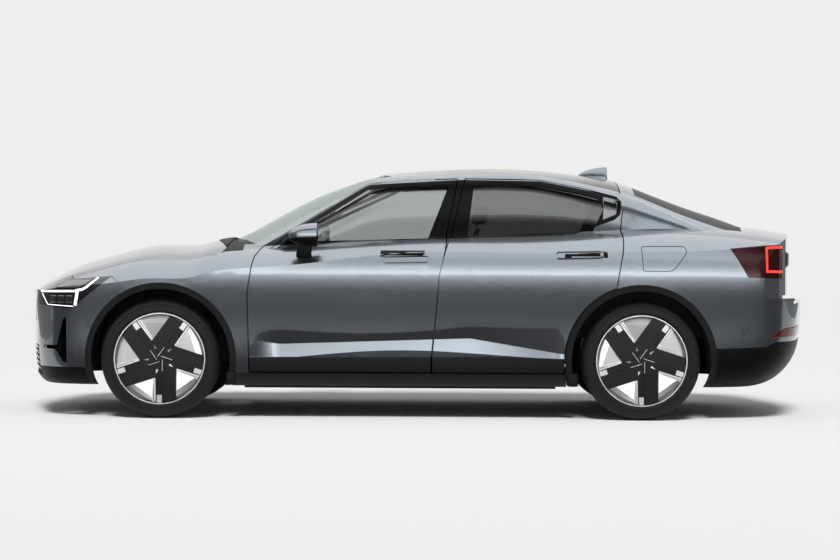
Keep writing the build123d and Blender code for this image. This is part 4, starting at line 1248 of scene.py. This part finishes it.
# %% Dashboard
# half of the roll's sections across the car: (y, x, z, half x, half z)
ROLL = [(-735, -800, 940, 30, 14), (-725, -800, 942, 62, 24), (-400, -805, 952, 84, 34), (0, -808, 956, 88, 36)]
ROLL += [(-y, *rest) for y, *rest in ROLL[2::-1]]
c, s = oval(40, 3.0)
rings = [np.stack([x + hx * c, y + 0 * c, z + hz * s], axis=1) for y, x, z, hx, hz in ROLL]
top_roll = build("dash_roll", sweep(np.stack(rings) * MM), seat_cloth, "body")
rounding = top_roll.modifiers.new("round", "SUBSURF")
rounding.levels = rounding.render_levels = 1
FLAT_PAD = (0.2, 0.12)
screens = [tilted_pad((132, 92, 7), 78, (-692, 0, 880), power=FLAT_PAD),
           tilted_pad((48, 130, 7), 70, (-716, -SEAT_Y, 975), power=FLAT_PAD)]
build("dash_screens", gather(screens), gloss_black, "body")
vents = [patch([(y, 868), (y + 150, 868), (y + 150, 892), (y, 892)], 12, 4) for y in (-720, -250, 110, 570)]
lay("dash_vents", vents, "dashboard", gloss_black, proud=2.0, sunk=3.0, axis="x", sides=(1,))
print("dashboard dressed")

# %% [markdown]
# ## Steering wheel
# The steering wheel is a rim with an oval section, a little flattened at its foot, three flat spokes, a
# shroud behind it and a bare soft cover in the middle.

# %% Steering wheel
WHEEL = np.array([-520, -SEAT_Y, 900]) * MM
TILT = math.radians(25)
RIM_RADIUS = 178
facing = np.array([math.cos(TILT), 0, math.sin(TILT)])
up = np.array([-math.sin(TILT), 0, math.cos(TILT)])
across = np.array([0, 1, 0])


def on_wheel(radius, turn, height):
    """Points of the steering wheel: radius and turn in its plane, height along its axis, in millimetres."""
    radius, turn, height = (value[..., None] for value in np.broadcast_arrays(radius, turn, height))
    return WHEEL + MM * (radius * (np.cos(turn) * across + np.sin(turn) * up) + height * facing)


def turned_on_wheel(profile, squareness=0.0):
    """A closed shape turned about the wheel's axis from a profile (radius, height)."""
    radius, height = np.array(profile, float).T[..., None]
    turn = np.linspace(0, 2 * np.pi, 32, endpoint=False)
    return sweep(on_wheel(radius * (1 + squareness * np.cos(2 * turn)), turn, height))


turn = np.linspace(0, 2 * np.pi, 96, endpoint=False)[:, None]
c, s = oval(20, 2.3)
flat_bottom = 1 - 0.10 * np.exp(-((turn - 1.5 * np.pi) / 0.42) ** 2)
rim = on_wheel(RIM_RADIUS * flat_bottom + 13 * c, turn, 15 * s)
shapes = [(rim.reshape(-1, 3), grid_faces(96, 20, close_rows=True, close_columns=True))]
# each spoke's direction and how far out it reaches
for at, reach in ((0.0, 172), (np.pi, 172), (1.5 * np.pi, 156)):
    out = np.linspace(40, reach, 8)[:, None]
    width = 26 - 10 * (out / 172)
    c, s = oval(16, 3.0)
    shapes.append(sweep(on_wheel(np.hypot(out, width * c), at + np.arctan2(width * c, out), -8 + 7 * s)))
shapes.append(turned_on_wheel([(40, -18), (46, -40), (44, -90), (40, -118)]))
wheel_rim = build("steering_rim", gather(shapes), dark_plastic, "body")
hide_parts("steering_wheel")
cover = turned_on_wheel([(52, -14), (62, -6), (58, 8), (40, 15), (8, 17)], squareness=0.10)
build("steering_cover", cover, seat_cloth, "body")
print("steering wheel built")

# %% [markdown]
# ## Door linings
# The inside of a door is a moulded panel with an armrest in it. Its base follows the inner wall of the door,
# found with the same drop as the outer trim but from inside the car, and a smooth bulge makes the armrest.

# %% Linings
LINING_GRID = 44, 34
INSIDE_Y = 0.3


def swell(share, steepness):
    """From 0 at both ends of the share up to 1: steepness times s (1 - s), at most 1."""
    return np.clip(steepness * share * (1 - share), 0, 1)


def lining(door, side, x0, x1, z0, z1, rest):
    """A panel over the inner wall: its face lies 3 to 10 mm in from the wall, and 52 exp(-((z - rest) / 42)^4)
    more over the armrest, fading to nothing at the panel's edges."""
    n, m = LINING_GRID
    s, t = np.meshgrid(np.linspace(0, 1, n), np.linspace(0, 1, m), indexing="ij")
    x, z = x0 + (x1 - x0) * s, z0 + (z1 - z0) * t
    start = np.stack([x * MM, side * INSIDE_Y + 0 * x, z * MM], axis=2).reshape(-1, 3)
    wall = drop(start, "y", side, nodes[door]).reshape(n, m, 3)
    fallback = np.median(np.abs(wall[..., 1]))
    missed = np.abs(wall[..., 1]) < 2 * INSIDE_Y
    wall[..., 1][missed] = side * fallback
    wall[..., 1] = side * np.minimum(np.abs(wall[..., 1]), fallback + 0.03)
    armrest = swell(s, 12) * swell(t, 14) * np.exp(-((z - rest) / 42) ** 4)
    armrest *= np.clip(6 * (s - 0.12), 0, 1) * np.clip(6 * (0.93 - s), 0, 1)
    rise = 3 + 7 * np.sqrt(swell(s, 30) * swell(t, 30)) + 52 * armrest
    face, back = wall.copy(), wall.copy()
    face[..., 1] -= side * rise * MM
    back[..., 1] -= side * 0.5 * MM
    shape = np.concatenate([face.reshape(-1, 3), back.reshape(-1, 3)]), shell_faces(n, m)
    build(f"lining_{door}", shape, lining_finish, body_of[door])


lining_finish = grained("lining_finish", LINING, 0.7, grain=1500, depth=0.4, shine=0.15)
for side, hand in SIDES:
    lining(f"front_door_{hand}", side, -880, 20, 340, 930, 690)
    lining(f"rear_door_{hand}", side, 190, 850, 420, 950, 720)
print("linings built")

# %% [markdown]
# ## Grille slats
# The nose has a slim upper grille and a wide lower intake. Each is a recessed panel behind horizontal slats,
# here thin blades laid across the nose so that they follow its curve.

# %% Slats


def slats(half, lowest, end, gap, high):
    """Flat blades of that half length and height, one every gap from the lowest up to the end."""
    return [patch([(-half, z), (half, z), (half, z + high), (-half, z + high)], 40, 3)
            for z in np.arange(lowest, end, gap)]


lay("grille_slats", slats(585, 262, 385, 30, 9) + slats(440, 566, 650, 24, 7), "grille", gloss_black,
    proud=4.0, axis="x", sides=(-1,))
print("slats laid")

# %% [markdown]
# ## Quarter panes
# The small fixed pane behind each rear door's window is glass over the black corner of the door. It mirrors
# more than it shows, so its finish is a dim metal with almost no grain.

# %% Quarter panes
quarter_glass = grained("quarter_glass", (0.17, 0.175, 0.175), 0.10, grain=3, depth=0.0, metallic=1.0, cloud=0.03)
QUARTER = [patch([(1068, 1136), (1148, 1172), (1156, 1258), (1072, 1276)], 16, 12)]
for side, hand in SIDES:
    lay(f"quarter_pane_{hand}", QUARTER, f"rear_door_{hand}", quarter_glass, proud=0.8, sunk=1.5,
        sides=(side,))
print("panes laid")

# %% [markdown]
# ## Wipers
# Two slim arms rest on the panel at the foot of the windscreen, clear of the bonnet's way up. Seen from
# above, each is a band along a path, dropped on the panel and lifted off it.

# %% Wipers
WIPERS = [[(-1098, -640), (-1080, -330), (-1062, 40)], [(-1090, -80), (-1076, 250), (-1062, 560)]]
lay("wipers", [ribbon(path, (9, 8, 6)) for path in WIPERS], "cowl", dark_plastic, proud=7.0,
    sunk=-1.0, axis="z", sides=(1,))
print("wipers laid")

# %% [markdown]
# ## Door handles
# A handle is a satin bar that floats a little off the door. Behind it a black slab on the door is painted shade,
# standing for the shadow in the handle's recess. The bar's line follows the door, half straightened, and its
# rounded ends close in over the last few millimetres.

# %% Handles and the painted shade of their recesses
handle_satin = grained("handle_satin", (0.34, 0.36, 0.38), 0.22, grain=2600, depth=0.03, metallic=0.9, cloud=0.05)
HANDLE_X = {"front_door": (-206, 34), "rear_door": (842, 1072)}
HANDLE_Z = 942
END = 16


def handle(x0, x1, side, target):
    """A bar from x0 to x1: sections of 5 by 10 mm about a line 6.5 mm off the door, times the square root of
    the distance from the end over END."""
    reach = np.linspace(x0, x1, 40)
    spine = on_skin(np.column_stack([reach, 0 * reach, 0 * reach + HANDLE_Z + 26]) * MM, "y", side, target)
    ends = np.clip(np.minimum(reach - x0, x1 - reach) / END, 0.05, 1)[:, None] ** 0.5
    c, s = oval(24, 2.6)
    y = np.median(spine[:, 1]) * 0.3 + 0.7 * spine[:, 1]
    return sweep(np.stack([reach[:, None] * MM + 0 * c, y[:, None] + side * (6.5 + 5 * s) * ends * MM,
                           (HANDLE_Z + 10 * c * ends) * MM], axis=2))


for place, (x0, x1) in HANDLE_X.items():
    for side, hand in SIDES:
        door = f"{place}_{hand}"
        build(f"handle_{door}", handle(x0, x1, side, nodes[door]), handle_satin, body_of[door])
for place, (x0, x1) in HANDLE_X.items():
    # a black slab round each handle, painted shade that stands for the shadow in its recess
    shade_in_recess = [patch([(x0 - 8, 924), (x1 + 8, 924), (x1 + 4, 960), (x0 - 4, 960)], 40, 6)]
    for side, hand in SIDES:
        door = f"{place}_{hand}"
        lay(f"surround_{door}", shade_in_recess, door, joint_and_shade_black, proud=0.6, sunk=1.5, sides=(side,))
print("handles built")

# %% [markdown]
# ## Tailgate panel
# A flat gloss black panel runs across the tailgate between the lamps. Each of its rows is a smooth bow, the
# parabola fitted to the points that drop on the tailgate, pushed out until it clears them all.

# %% Tailgate panel
ACROSS, ROWS = 81, 9
PROUD = 0.0015
ROUNDING = 0.004
THICKNESS = 0.014
cells = patch([(-600, 872), (600, 872), (600, 962), (-600, 962)], ACROSS, ROWS)
points = np.column_stack([np.zeros(ACROSS * ROWS), cells.reshape(-1, 2) * MM])
face = on_skin(points, "x", 1, nodes["tailgate"]).reshape(ACROSS, ROWS, 3)
for row in range(ROWS):
    x, y = face[:, row, 0], face[:, row, 1]
    bow = np.polyval(np.polyfit(y, x, 2), y)
    face[:, row, 0] = bow + np.maximum(0, x - bow).max() + PROUD


def from_end(count):
    """Steps from each of count places to the nearer end."""
    return np.minimum(np.arange(count), np.arange(count)[::-1])


edge = np.minimum(from_end(ACROSS)[:, None] / 3, from_end(ROWS) / 1.5)
face[..., 0] -= ROUNDING * (1 - np.clip(edge, 0, 1)) ** 2
back = face - [THICKNESS, 0, 0]
panel = np.concatenate([face.reshape(-1, 3), back.reshape(-1, 3)]), shell_faces(ACROSS, ROWS)
build("tail_garnish", panel, gloss_black, "tailgate")
print("panel x", face[..., 0].min(), face[..., 0].max())

# %% [markdown]
# ## Sill ends
# Towards the wheel arches each sill ends in a small moulded block that hides the seam of the body. A rounded
# block is enough, because the arch covers all but its outer edge.

# %% Sill ends
ENDS = [(-1088, -1036, 192, 264), (858, 918, 190, 262)]
blocks = [stack([(z0, x0, x1, side * 700, side * 872), (z1, x0, x1, side * 700, side * 882)], power=8.0)
          for x0, x1, z0, z1 in ENDS for side in (-1, 1)]
build("sill_ends", gather(blocks), dark_plastic, "body")
print("sill ends built")

# %% [markdown]
# ## Pillar trims
# Inside the windscreen pillar a moulded cover runs from the dashboard's corner up to the roof. It is a slim
# rounded bar that follows the pillar some way inside the skin, so that the open door swings past it.

# %% Windscreen pillar covers
steps = np.linspace(0, 1, 24)[:, None]
fade = np.clip(np.minimum(steps, 1 - steps) / 0.03, 0.3, 1)
c, s = oval(20, 2.6)
bars = []
for side in (-1, 1):
    x, y, z = -800 + 700 * steps, side * (735 - 215 * steps ** 1.15), 985 + 350 * steps ** 0.86
    rings = np.stack([x + 9 * s * fade, y + 26 * c * fade, z + 15 * s * fade], axis=2)
    bars.append(sweep(rings * MM))
build("pillar_covers", gather(bars), lining_finish, "body")
print("pillar covers built")
